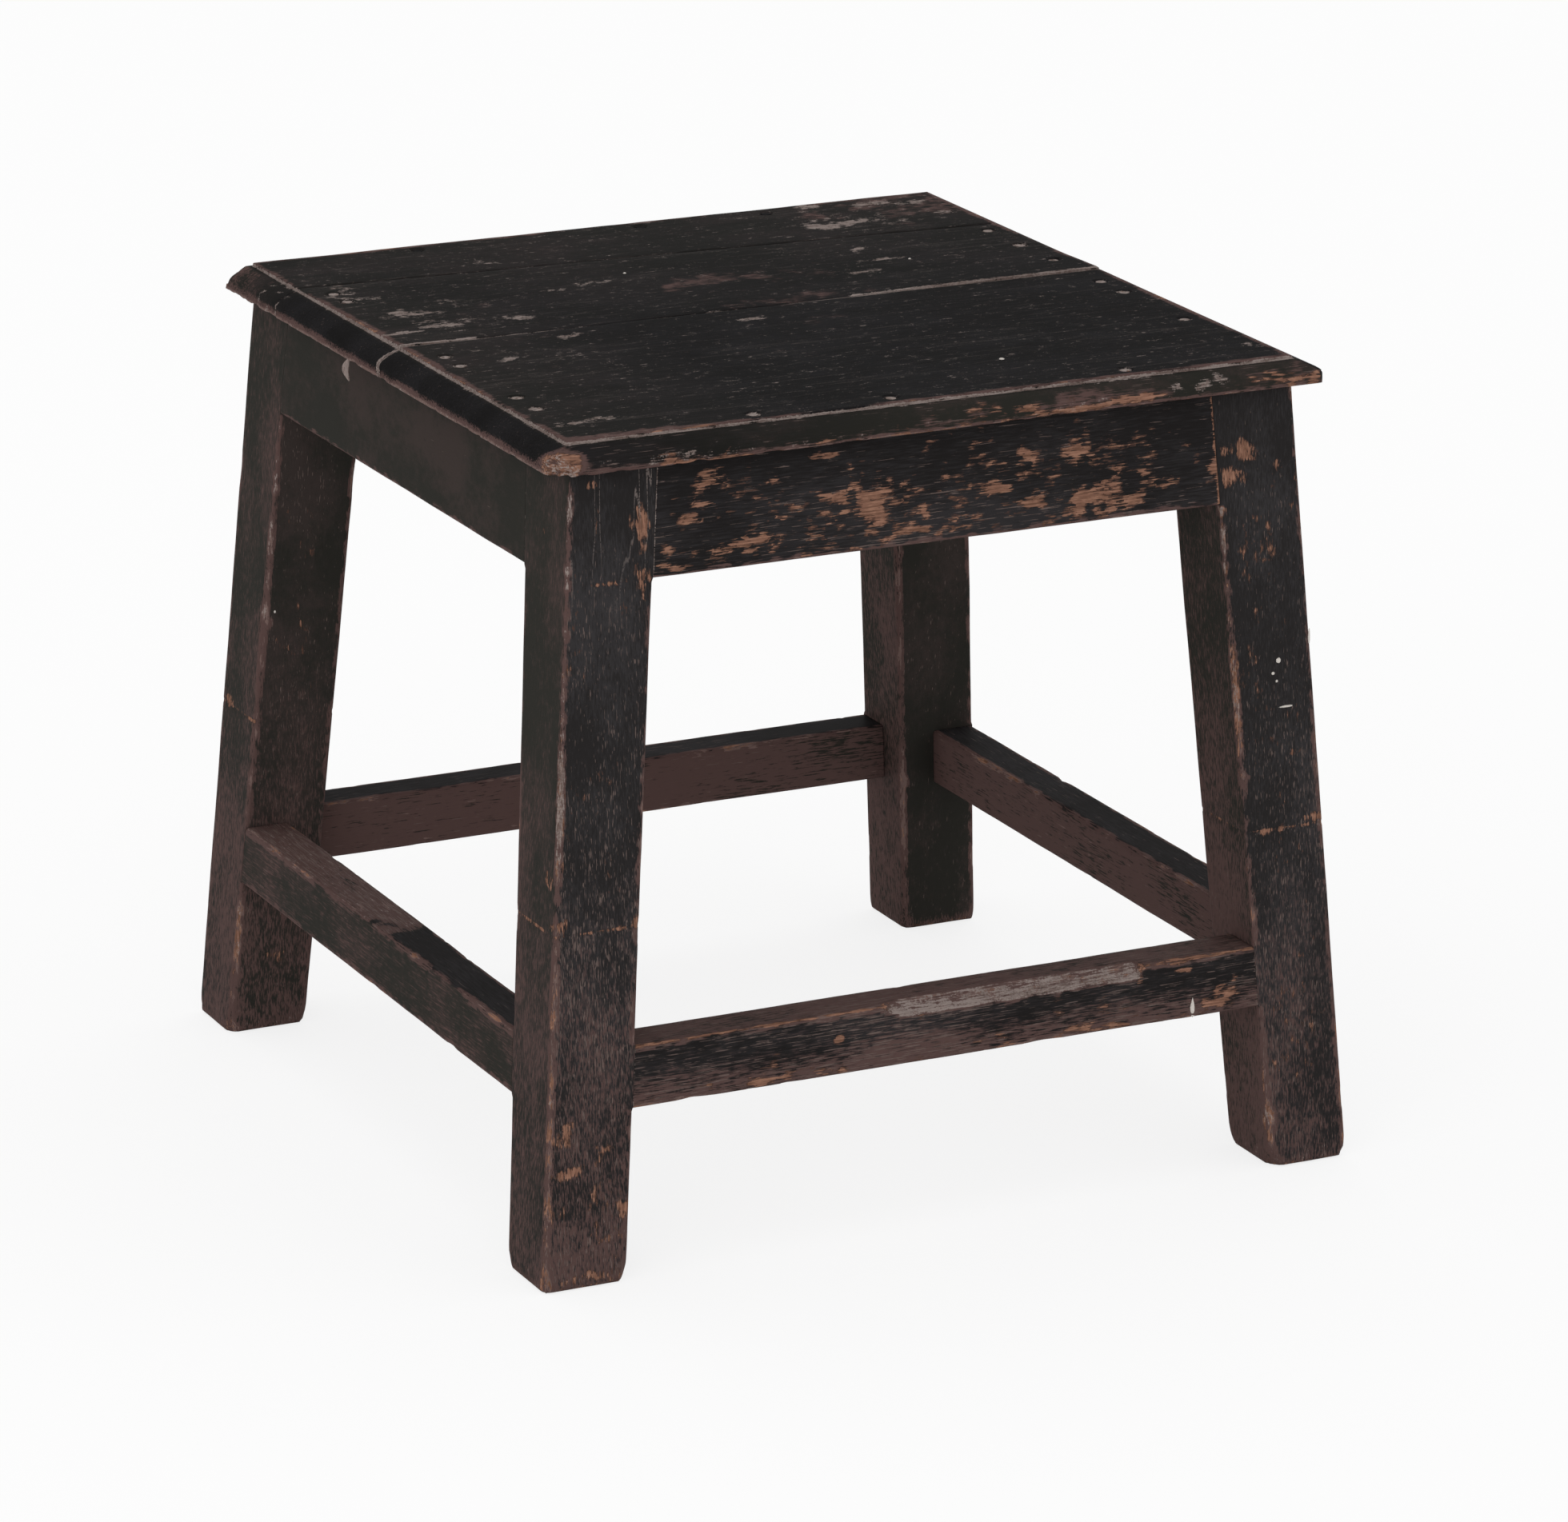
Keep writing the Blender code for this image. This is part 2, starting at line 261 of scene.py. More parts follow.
# Where each coat shows: the layer of wear that it follows, the patterns that break it up and their weights,
# where it begins and where it is full, and how much it covers then. Where a coat follows a layer, its
# patterns make that layer stronger in one place and weaker in another.
COATS = {
    "flaked": ("bare", {"flake": 4.0, "shred": 1.7}, 0.49, 0.52, 1.0),
    "primed": ("bare", {"flake": 4.0, "shred": 1.7}, 0.42, 0.45, 1.0),
    "thinned": ("rub", {"cloud": 2.0, "shred": 3.4, "spot": 1.2}, 0.34, 0.74, 1.0),
    "scuffed": ("rub", {"flake": 2.6, "shred": 1.6}, 1.45, 1.60, 1.0),
    "dusted": ("dust", {"grit": 1.2, "spot": 2.4, "shred": 2.2}, 0.45, 0.62, 0.9),
    "scratched": (None, {"scratch": 1.0, "pores": 0.36, "cloud": 0.35, "spot": 0.35}, 1.21, 1.26, 0.75),
    # Painted sheen: a lighter tone mottled over the black where the cloud and shred patterns run high.
    "painted_sheen_mottle": (None, {"cloud": 1.0, "shred": 0.8}, 0.74, 1.10, 1.0),
    "browned": (None, {"cloud": 1.0, "spot": 0.4, "grit": 0.2}, 0.68, 0.96, 1.0),
    "grained": (None, {"grain": 1.0}, 0.38, 0.60, 1.0),
    "bleached": (None, {"shred": 1.0, "spot": 0.6}, 0.76, 1.00, 0.7),
    "powdered": (None, {"cloud": 1.0, "grit": 0.7, "shred": 1.2}, 1.25, 1.63, 1.0),
    "gritty": (None, {"grit": 1.0}, 0.35, 0.55, 1.0),
    "cracked": (None, {"ridge": 1.0}, 0.010, 0.003, 1.0),
}


def start_material(name):
    """A new material, its node tree and its shader."""
    material = bpy.data.materials.new(name)
    material.use_nodes = True
    return material, material.node_tree, material.node_tree.nodes["Principled BSDF"]


def worn_paint(name, grain, scratch_length, black=PAINT_BLACK, painted_sheen=PAINTED_SHEEN, gloss=0.008):
    """Black paint over wood whose grain runs along one axis, worn by the piece's own layers of wear, with a
    lighter mottled tone laid over the black as a painted sheen.
    """
    material, tree, shader = start_material(name)
    place = add(tree, "ShaderNodeTexCoord", {}, {}).outputs["Object"]
    share = {layer: add(tree, "ShaderNodeAttribute", {"attribute_name": layer}, {}).outputs["Fac"]
             for layer in LAYERS}

    def scaled(across, along):
        """The scales of a pattern of these sizes across and along the grain."""
        scale = [1 / across] * 3
        scale[grain] = 1 / along
        return scale

    # The paint lets go in slivers along the grain, so flakes are measured from sliver to sliver.
    laid = add(tree, "ShaderNodeMapping", {},
               {"Vector": place, "Location": [3.1] * 3,
                "Scale": scaled(SLIVER_ACROSS * MM, SLIVER_ALONG * MM)})
    slivers = add(tree, "ShaderNodeTexVoronoi", {}, {"Vector": laid.outputs["Vector"], "Scale": 1.0})
    # Each pattern: its size in millimetres across and along the grain, how much fine detail it has, and how
    # strong that detail is. Shreds and scratches are drawn wider than real ones, so that they show.
    patterns = {"flake": (4.4, 12.0, 8.0, 0.74), "shred": (0.72, 0.8 * scratch_length, 3.0, 0.60),
                "scratch": (0.46, scratch_length, 1.0, 0.50), "grain": (1.2, 50.0, 5.0, 0.65),
                "cloud": (45.0, 80.0, 4.0, 0.60), "grit": (0.8, 1.0, 2.0, 0.60),
                "spot": (4.0, 5.0, 5.0, 0.65), "check": (11.0, 260.0, 2.0, 0.55)}
    for start, (pattern, (across, along, detail, strength)) in enumerate(patterns.items()):
        vector, scale = place, scaled(across * MM, along * MM)
        if pattern == "flake":
            vector, scale = slivers.outputs["Position"], scaled(across / SLIVER_ACROSS, along / SLIVER_ALONG)
        laid = add(tree, "ShaderNodeMapping", {},
                   {"Vector": vector, "Location": [7.3 * start] * 3, "Scale": scale})
        share[pattern] = add(tree, "ShaderNodeTexNoise", {},
                             {"Vector": laid.outputs["Vector"], "Scale": 1.0, "Detail": detail,
                              "Roughness": strength}).outputs["Fac"]
    share["ridge"] = share["check"]
    for operation in ("SUBTRACT", "ABSOLUTE"):
        share["ridge"] = add(tree, "ShaderNodeMath", {"operation": operation},
                             {0: share["ridge"], 1: 0.5}).outputs[0]

    for coat, (layer, weights, begin, full, cover) in COATS.items():
        total = 1 - sum(weights.values()) / 2 if layer else 0.0
        for pattern, weight in weights.items():
            total = add(tree, "ShaderNodeMath", {"operation": "MULTIPLY_ADD"},
                        {0: share[pattern], 1: weight, 2: total}).outputs[0]
        if layer:
            total = add(tree, "ShaderNodeMath", {"operation": "MULTIPLY"},
                        {0: share[layer], 1: total}).outputs[0]
        share[coat] = add(tree, "ShaderNodeMapRange", {"interpolation_type": "SMOOTHSTEP"},
                          {"Value": total, "From Min": begin, "From Max": full, "To Max": cover}).outputs[0]
    for limit in ("checks", "gritty"):
        share["cracked"] = add(tree, "ShaderNodeMath", {"operation": "MULTIPLY"},
                               {0: share["cracked"], 1: share[limit]}).outputs[0]

    # Each colour starts from one tone, and others are laid over it by the shares of their coats.
    stacks = {"film": (PAINT_FILM, ("browned", PAINT_FILM_BROWN)),
              "wood": (WOOD_DARK, ("grained", WOOD_MID), ("bleached", WOOD_PALE)),
              "powder": (DUST_DARK, ("powdered", DUST_PALE)),
              # The first tone laid over the black is the painted sheen.
              "paint": (black, ("painted_sheen_mottle", painted_sheen), ("film", "film"), ("thinned", PAINT_THIN),
                        ("primed", PAINT_UNDER), ("scratched", SCRATCH_PALE), ("scuffed", PAINT_SCUFFED),
                        ("flaked", "wood"), ("cracked", DUST_PALE), ("dusted", "powder"))}
    colours = {}
    for stack, (colour, *tones) in stacks.items():
        for coat, tone in tones:
            colour = add(tree, "ShaderNodeMix", {"data_type": "RGBA"},
                         {0: share[coat], 6: colour, 7: colours.get(tone, tone)}).outputs[2]
        colours[stack] = colour
    tree.links.new(colours["paint"], shader.inputs["Base Color"])

    rough = add(tree, "ShaderNodeMapRange", {},
                {"Value": share["cloud"], "To Min": 0.45, "To Max": 0.62}).outputs[0]
    for coat, more in (("flaked", 0.25), ("dusted", 0.3333)):
        rough = add(tree, "ShaderNodeMath", {"operation": "MULTIPLY_ADD", "use_clamp": True},
                    {0: share[coat], 1: more, 2: rough}).outputs[0]
    tree.links.new(rough, shader.inputs["Roughness"])
    shader.inputs["Specular IOR Level"].default_value = gloss

    height = 0.0
    for coat, rise in (("shred", 0.06), ("grain", 0.06), ("flaked", -0.14), ("scratched", -0.0667),
                       ("cracked", -0.2)):
        height = add(tree, "ShaderNodeMath", {"operation": "MULTIPLY_ADD"},
                     {0: share[coat], 1: rise, 2: height}).outputs[0]
    relief = add(tree, "ShaderNodeBump", {}, {"Height": height, "Distance": MM, "Strength": 1.0})
    tree.links.new(relief.outputs["Normal"], shader.inputs["Normal"])
    return material


# The legs' black, and the lighter bluish tone mottled over it as a painted sheen.
LEG_BLACK = linear("#262424")
LEG_PAINTED_SHEEN = linear("#343233")
leg_paint = worn_paint("worn_black_paint_on_upright_hardwood", 2, 6.0, LEG_BLACK, LEG_PAINTED_SHEEN)

# Worn spots on the legs' faces: (along X or Y, height, half width, half height, strength).
LEG_SPOTS = {
    ("front_left", "front"): [
        (-154, 352, 7, 14, 0.62), (-156, 334, 8, 11, 0.62), (-172, 333, 13, 3, 0.58),
        (-176, 379, 5, 4, 0.62), (-176, 358, 2.5, 14, 0.52), (-198, 172, 9, 5, 0.62),
        (-164, 172, 9, 5, 0.66), (-198, 75, 9, 7, 0.66), (-182, 64, 9, 5, 0.64),
        (-203, 57, 14, 5, 0.7), (-172, 34, 9, 6, 0.62), (-190, 5, 24, 5, 0.6),
        (-185, 30, 34, 48, 0.34), (-185, 200, 34, 90, 0.31), (-183, 310, 26, 40, 0.31)],
    ("front_left", "left"): [(-167, 352, 3, 3, 0.6), (-196, 196, 5, 5, 0.6), (-205, 172, 9, 4, 0.6)],
    ("front_right", "front"): [
        (158, 358, 12, 7, 0.64), (155, 345, 11, 7, 0.66), (176, 345, 6, 8, 0.58), (190, 350, 3, 12, 0.54),
        (165, 250, 16, 40, 0.33), (168, 171, 11, 4, 0.62), (200, 173, 10, 4, 0.6), (172, 310, 22, 50, 0.36),
        (188, 206, 7, 4, 0.6), (185, 60, 28, 75, 0.34), (178, 220, 30, 110, 0.32), (160, 300, 4, 60, 0.42)],
    ("back_left", "left"): [(200, 172, 10, 4, 0.6)],
    ("back_left", "front"): [(-190, 40, 11, 5, 0.58), (-175, 60, 11, 5, 0.52), (-180, 250, 30, 120, 0.3)],
}
BANDED_LEGS = ("front_left", "front_right", "back_left")
BAND_HEIGHT = 170 * MM
BAND_REACH = 1.6 * MM
BAND_DEPTH = 0.35 * MM
BAND_BREAK = 12 * MM
FRAYED_HEIGHT = 225 * MM
FRAYED_REACH = 55 * MM
LOW_REACH = 260 * MM
UPPER_REACH = 200 * MM
SOLE_REACH = 10 * MM
FOOT_DUST = 70 * MM
FOOT_KNOCK = 15 * MM
LOW_KNOCK = 200 * MM
BARE_STRIP = 60 * MM
CHECK_TOP = 390 * MM
CHECK_REACH = 80 * MM
LOW_RUB = {"front_left": 0.44, "front_right": 0.32, "back_left": 0.44, "back_right": 0.15}
LEADING = frozenset(("front", "left"))
ACROSS = {"left": "right", "right": "left", "front": "back", "back": "front"}
RAIL_HEIGHTS = [(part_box(rail_name)[0].z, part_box(rail_name)[1].z + MM)
                for rail_name in ("apron_front", "stretcher_front")]


def leg_coat(name, facing, arris, point, worn):
    """The wear on a leg: rubbed brown towards the foot, with the front left arris worn hardest."""
    along = point.x if facing in ("front", "back") else point.y
    low = fade(point.z, LOW_REACH)
    foot = fade(point.z, SOLE_REACH)
    upper = fade(LEG_TOP - point.z, UPPER_REACH)
    at_front = name.startswith("front")
    leading = arris == LEADING
    outermost = (name, arris) == ("front_right", frozenset(("front", "right")))
    dust_and_glint_arris = outermost or leading and name != "back_right"
    spots = mark(along, point.z, LEG_SPOTS.get((name, facing), []))
    band = fade(abs(point.z - BAND_HEIGHT), BAND_REACH) if name in BANDED_LEGS else 0.0
    tied = band * max(0, 0.68 + 0.45 * ripple(point, BAND_BREAK, 5.0) + 0.6 * worn)
    if (name, facing) == ("back_left", "front"):
        tied = 0.0
    frayed = fade(abs(point.z - FRAYED_HEIGHT), FRAYED_REACH) if name == "front_left" else 0.0
    hard = 0.46
    if outermost or leading and at_front:
        hard = 0.68 - (0.26 * upper if name == "front_left" else 0.0)
    elif leading and name == "back_left":
        hard += 0.20 * fade(point.z - BARE_STRIP, BARE_STRIP / 2)
    # Pale flecks on the leading arrises: partly dust, partly a painted glint, stronger towards the top of
    # the leg.
    arris_dust_and_glint = (0.46 + 0.36 * upper + 0.3 * frayed) * worn if dust_and_glint_arris else 0.0
    wear = {"bare": max(spots, hard * worn, 0.44 * foot, 0.95 * tied),
            "dust": max(0.34 * fade(point.z, FOOT_DUST), arris_dust_and_glint)}
    if facing == "front":
        wear["rub"] = max(0.18 + LOW_RUB[name] * low, (2.6 - upper) * worn, 0.9 * foot)
        wear["film"] = 0.0 if at_front else 0.8
        wear["pores"] = 0.68 - 0.32 * upper - 0.1 * low if at_front else 0.40
        if name == "front_left":
            wear["pores"] = 0.78 - 0.48 * upper - 0.18 * low
            wear["checks"] = 0.6 * fade(CHECK_TOP - point.z, CHECK_REACH)
    elif facing in name.split("_"):
        wear["rub"] = max((0.34 if at_front else 0.38) + 0.18 * low, (2.2 - upper) * worn, 1.0 * foot)
        wear["pores"] = 0.14 + 0.15 * low
        wear["film"] = 0.9 - 0.4 * low
    else:
        wear["rub"] = max(0.44 + 0.30 * low, 2.0 * worn, 1.1 * foot)
        wear["pores"] = 0.20 + 0.15 * low
        wear["film"] = 0.9
    return wear


for leg_index, leg_name in enumerate(LEG_NAMES):
    leg_end, leg_hand = leg_name.split("_")
    joined_arrises = (frozenset((leg_end, ACROSS[leg_hand])), frozenset((leg_hand, ACROSS[leg_end])))
    leg_bar = squared_bar(lambda side, level, end: Vector((leg_side(leg_name, 0, side, LEG_TOP * end),
                                                           leg_side(leg_name, 1, level, LEG_TOP * end),
                                                           LEG_TOP * end)))
    sole = min(leg_bar.faces, key=lambda face: face.calc_center_median().z)
    bmesh.ops.bevel(leg_bar, geom=list(sole.edges), offset=FOOT_EASE, offset_type="OFFSET", segments=3,
                    profile=0.5, affect="EDGES", material=-1)
    cut_up(leg_bar, 2, (0, 1))
    if leg_name in BANDED_LEGS:
        for share in (-1.0, -0.4, 0.4, 1.0):
            bmesh.ops.bisect_plane(leg_bar, geom=whole(leg_bar), plane_no=(0, 0, 1),
                                   plane_co=(0, 0, BAND_HEIGHT + share * BAND_REACH))
        leg_bar.normal_update()
        for vert in leg_bar.verts:
            vert.co -= vert.normal * BAND_DEPTH * fade(abs(vert.co.z - BAND_HEIGHT), BAND_REACH)

    def leg_gaps(point):
        """How far in a point of this leg lies from each of its four sides."""
        return {"left": point.x - leg_side(leg_name, 0, 0, point.z),
                "right": leg_side(leg_name, 0, 1, point.z) - point.x,
                "front": point.y - leg_side(leg_name, 1, 0, point.z),
                "back": leg_side(leg_name, 1, 1, point.z) - point.y}

    def leg_knock(arris, point, rough):
        """Chips on a leg's arrises, deeper at the foot, and none where a rail is joined flush with it."""
        if arris in joined_arrises and any(low < point.z < high for low, high in RAIL_HEIGHTS):
            return None
        foot = fade(point.z, FOOT_KNOCK) ** 2
        if arris != LEADING:
            return (1.1 + 5.5 * foot) * rough
        frayed = fade(abs(point.z - FRAYED_HEIGHT), FRAYED_REACH)
        return (1.1 + 2.4 * frayed + 1.7 * fade(point.z, LOW_KNOCK) + 8.0 * foot) * rough

    weather(leg_bar, 2, leg_gaps, 11.0 * leg_index, leg_knock,
            lambda facing, arris, point, worn, chipped: leg_coat(leg_name, facing, arris, point, worn))
    finish_piece(leg_bar, "worn_leg_" + leg_name, leg_paint, "leg_paint", "leg_" + leg_name)

# Aprons: four hardwood boards on edge under the seat, tenoned into the legs with their outer faces flush
# with them. The front one has lost much of its paint along the grain, and the others are the least worn.
SHOULDER_GAP = 0.15 * MM
SHOULDER_LINE = 0.8 * MM
SHOULDER_WEAR = 2.0 * MM
RAIL_LEGS = {"front": ("front_left", "front_right"), "back": ("back_left", "back_right"),
             "left": ("front_left", "back_left"), "right": ("front_right", "back_right")}
rail_paint = {0: worn_paint("worn_black_paint_on_cross_rail", 0, 13.0),
              1: worn_paint("worn_black_paint_on_side_rail", 1, 13.0)}


def rail(kind, side, seed, knock, coat):
    """One rail between two legs: its outer face lies in the legs' outer plane, its ends on their inner
    faces. coat(facing, point, along, worn, chipped, near, far) gives its wear, where near and far tell how
    far the point lies from its two shoulders."""
    node = kind + "_" + side
    run = 0 if side in ("front", "back") else 1
    out = 1 - run
    inner_side = 1 if side in ("front", "left") else 0
    inward = 1 if inner_side else -1
    first, last = RAIL_LEGS[side]
    low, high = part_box(node)

    def outer(z):
        """Where the rail's outer face lies at height z."""
        return leg_side(first, out, 1 - inner_side, z)

    thickness = high[out] - low[out] - abs(outer(low.z) - outer(high.z))

    def corner(depth, level, end):
        """One of the rail's eight corners."""
        place = Vector((0, 0, (low.z, high.z)[level]))
        place[out] = outer(place.z) + inward * depth * thickness
        place[run] = (leg_side(last, run, 0, place.z) - SHOULDER_GAP if end
                      else leg_side(first, run, 1, place.z) + SHOULDER_GAP)
        return place

    bar = squared_bar(corner)
    cut_up(bar, run, (out, 2))
    for leg, end, way in ((first, 1, 1), (last, 0, -1)):
        place = Vector((0, 0, 0))
        place[run] = leg_side(leg, run, end, 0) + way * (SHOULDER_GAP + SHOULDER_LINE)
        slant = Vector((0, 0, leg_side(leg, run, end, 0) - leg_side(leg, run, end, 1)))
        slant[run] = 1
        bmesh.ops.bisect_plane(bar, geom=whole(bar), plane_co=place, plane_no=slant)
    bar.normal_update()
    side_names = {side: "outside", ACROSS[side]: "inside"}

    def gaps(point):
        """How far in a point lies from each of the rail's four long sides."""
        depth = (point[out] - outer(point.z)) * inward
        return {side: depth, ACROSS[side]: thickness - depth,
                "under": point.z - low.z, "top": high.z - point.z}

    def rail_coat(facing, arris, point, worn, chipped):
        """The rail's wear, with its sides named outside and inside."""
        near = point[run] - leg_side(first, run, 1, point.z) - SHOULDER_GAP
        far = leg_side(last, run, 0, point.z) - SHOULDER_GAP - point[run]
        return coat(side_names.get(facing, facing), point, point[run], worn, chipped, near, far)

    def rail_knock(arris, point, rough):
        """The rail's chips, with its sides named outside and inside."""
        return knock(frozenset(side_names.get(name, name) for name in arris), point, rough)

    weather(bar, run, gaps, seed, rail_knock, rail_coat)
    finish_piece(bar, "worn_" + node, rail_paint[run], "rail_paint", node)


# Bare patches on the front apron: (along X, height, half length, half height, strength). The last few are
# wide and weak, and scatter small flecks.
APRON_SPOTS = [
    (-33, 359, 28, 16, 0.74), (-54, 361, 16, 6, 0.6), (76, 344, 34, 11, 0.76), (98, 345, 22, 7, 0.64),
    (-117, 371, 11, 6, 0.74), (-123, 363, 9, 4, 0.68), (-132, 357, 10, 4, 0.68), (-106, 343, 40, 4, 0.8),
    (-141, 346, 8, 5, 0.62), (-139, 337, 11, 4, 0.64), (-18, 341, 14, 4, 0.62), (28, 354, 12, 4, 0.64),
    (43, 369, 8, 5, 0.7), (73, 366, 10, 5, 0.7), (118, 346, 14, 4, 0.6), (132, 362, 6, 3, 0.6),
    (-60, 380, 10, 3, 0.6), (-86, 373, 4, 5, 0.6), (146, 352, 8, 14, 0.66), (-75, 356, 20, 5, 0.52),
    (30, 352, 160, 44, 0.36), (-95, 352, 90, 40, 0.35), (0, 336, 160, 12, 0.42), (96, 352, 60, 32, 0.38)]


def apron_knock(arris, point, rough):
    """Chips on an apron's arrises, deeper underneath."""
    return (0.9 if "under" in arris else 0.6) * rough


def front_apron_coat(facing, point, along, worn, chipped, near, far):
    """The front apron: flaked along the grain, with a pale line down its left shoulder and flakes by the
    right one."""
    if facing == "outside":
        bare = max(mark(along, point.z, APRON_SPOTS), 0.48 * worn, 0.85 * fade(far, SHOULDER_WEAR))
        return {"bare": bare, "rub": max(0.2, 2.0 * worn), "pores": 0.52,
                "dust": 0.9 * fade(near, SHOULDER_LINE)}
    return {"bare": 0.45 * worn, "rub": max(0.6, 1.9 * worn), "film": 0.3, "pores": 0.2}


def plain_apron_coat(facing, point, along, worn, chipped, near, far):
    """The other aprons: an even dull film of paint."""
    if facing == "outside":
        return {"bare": 0.35 * worn, "rub": max(0.15, 1.7 * worn), "film": 0.9, "pores": 0.08,
                "dust": 0.45 * fade(min(near, far), SHOULDER_LINE)}
    return {"bare": 0.4 * worn, "rub": max(0.65, 1.8 * worn), "film": 0.4, "pores": 0.15}


rail("apron", "front", 51.0, apron_knock, front_apron_coat)
for apron_index, apron_side in enumerate(("back", "left", "right")):
    rail("apron", apron_side, 57.0 + 6 * apron_index, apron_knock, plain_apron_coat)

# Stretchers: four lighter hardwood rails, tenoned into the legs low down and boxing them in. Boots have worn
# the front one's top arris to bare wood and scraped a long grey flat on it, and the paint has gone thin and
# brown on the inner faces.
SCRAPE_START = -36 * MM
SCRAPE_END = 101 * MM
SCRAPE_TAPER = 16 * MM
SCRAPE_STOP = 3 * MM
SCRAPE_DEPTH = 6.4    # in millimetres, as all knocks are
SCRAPE_SWELL = 28 * MM
SCRAPE_RIPPLE = 6 * MM
SCRAPE_LOWER = 5 * MM
FRONT_UPPER = 18 * MM
FRONT_LOW_WEAR = 17 * MM
FRONT_STRETCHER_SPOTS = [
    (150, 91, 13, 8, 0.8), (-60, 101, 4, 6, 0.58), (84, 87, 30, 5, 0.54), (-85, 87, 46, 5, 0.58),
    (124, 107, 6, 4, 0.58), (103, 105, 5, 3, 0.56), (20, 96, 160, 16, 0.32)]
front_stretcher_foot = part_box("stretcher_front")[0].z
front_stretcher_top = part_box("stretcher_front")[1].z


def scraped(along):
    """1 along the scraped flat of the front stretcher, running out to a round end on the left."""
    start = fade(SCRAPE_START + SCRAPE_TAPER - along, SCRAPE_TAPER)
    return min(math.sqrt(1 - (1 - start) ** 2), fade(along - SCRAPE_END, SCRAPE_STOP))


def front_stretcher_knock(arris, point, rough):
    """Chips on the front stretcher, cut back to the long flat on its top front arris."""
    if arris == frozenset(("outside", "top")):
        share = scraped(point.x)
        waver = 1 + 0.16 * ripple(point.xxx, SCRAPE_SWELL, 4.0)
        waver += 0.05 * ripple(point.xxx, SCRAPE_RIPPLE, 9.0)
        return 1.7 * rough * (1 - share) + SCRAPE_DEPTH * share * waver
    return 1.5 * rough


def front_stretcher_coat(facing, point, along, worn, chipped, near, far):
    """The front stretcher: scraped and golden on top, scratched on its face and brown along its foot."""
    top_arris = chipped if point.z > front_stretcher_foot + FRONT_UPPER else 0.0
    scrape = top_arris * scraped(along)
    low_wear = fade(point.z - front_stretcher_foot, FRONT_LOW_WEAR)
    lower = fade(point.z - front_stretcher_top + SCRAPE_LOWER, SCRAPE_LOWER)
    wear = {"dust": (0.52 + 0.35 * lower) * scrape,
            "bare": max(0.46 * worn, 0.62 * top_arris * (1 - 0.4 * scrape))}
    if facing == "outside":
        wear["bare"] = max(wear["bare"], mark(along, point.z, FRONT_STRETCHER_SPOTS), 0.38 * low_wear)
        wear["rub"] = max(0.32 + 0.55 * low_wear, 2.0 * worn, 1.5 * scrape)
        wear["pores"] = 0.70
        wear["dust"] = max(wear["dust"], 0.5 * fade(min(near, far), SHOULDER_LINE))
    else:
        wear["rub"] = max(0.80, 2.0 * worn, 1.5 * scrape)
        wear["pores"] = 0.66
        wear["film"] = 0.7
    return wear


def stretcher_knock(arris, point, rough):
    """Chips on the other stretchers, deeper on top."""
    return (1.8 if "top" in arris else 1.1) * rough


LEFT_STRETCHER_X = -150 * MM
LEFT_STRETCHER_END = 185 * MM
# The ragged edge of the grey, partly a painted sheen, on the back half of the left stretcher's top.
TRODDEN_AND_SHEEN_SWELL = 16 * MM
TRODDEN_AND_SHEEN_FRET = 5 * MM
TRODDEN_AND_SHEEN_EDGE = 12 * MM


def stretcher_coat(facing, point, along, worn, chipped, near, far):
    """The other stretchers: black on top with chipped arrises, thin and reddish brown on their sides. The
    left one is grey on the back half of its top, partly worn and partly a painted sheen, and keeps more
    paint on its sides."""
    dust = 0.3 * fade(min(near, far), SHOULDER_LINE)
    on_left = point.x < LEFT_STRETCHER_X and abs(point.y) < LEFT_STRETCHER_END
    if facing == "top":
        ragged = MM * (24 * ripple(point, TRODDEN_AND_SHEEN_SWELL, 3.0) + 10 * ripple(point, TRODDEN_AND_SHEEN_FRET, 6.0))
        # The back half of the left stretcher's top is made grey: partly worn, partly a painted sheen.
        trodden_and_sheen = fade(ragged - along, TRODDEN_AND_SHEEN_EDGE) if on_left else 0.0
        return {"bare": 0.55 * worn, "rub": max(0.15 + 1.0 * trodden_and_sheen, 2.2 * worn), "film": 0.9 * trodden_and_sheen,
                "pores": 0.40 + 0.40 * trodden_and_sheen, "dust": max(dust, 0.33 * trodden_and_sheen)}
    rubbed = 0.38 if on_left else 1.0
    return {"bare": 0.5 * worn, "rub": max(rubbed, 2.0 * worn), "film": 0.9, "pores": 0.30, "dust": dust}


rail("stretcher", "front", 75.0, front_stretcher_knock, front_stretcher_coat)
for stretcher_index, stretcher_side in enumerate(("back", "left", "right")):
    rail("stretcher", stretcher_side, 81.0 + 6 * stretcher_index, stretcher_knock, stretcher_coat)

# Seat: three hardwood boards laid side by side and nailed down to the aprons, with a quirk and ovolo run
# round all four edges. Dust lies in the joints, and the pale line in the quirk is partly dust and partly a
# painted highlight. The lip is scuffed, the front left corner is knocked bare, and the middle board has
# risen a little along its front joint.
FIELD_SPACING = 2.5 * MM
BOARD_NAMES = ("front", "middle", "back")
board_boxes = {board_name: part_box("seat_board_" + board_name) for board_name in BOARD_NAMES}
SEAT_LOW, SEAT_HIGH = [Vector([pick(board_boxes[board_name][end][axis] for board_name in BOARD_NAMES)
                               for axis in range(3)]) for end, pick in ((0, min), (1, max))]
SEAT_HALF = (SEAT_HIGH - SEAT_LOW) / 2
SEAT_THICKNESS = SEAT_HIGH.z - SEAT_LOW.z
QUIRK_INSET = 11.6 * MM
QUIRK_DROP = 1.6 * MM
OVOLO_WIDTH = 10.6 * MM
OVOLO_DROP = 6.4 * MM
OVOLO_STEPS = 9
OVOLO_ROUND = 0.6        # 1 is a full quarter round, 0 a flat slope
LIP_EASE = 0.6 * MM
LIP_WEAR = 1.8 * MM
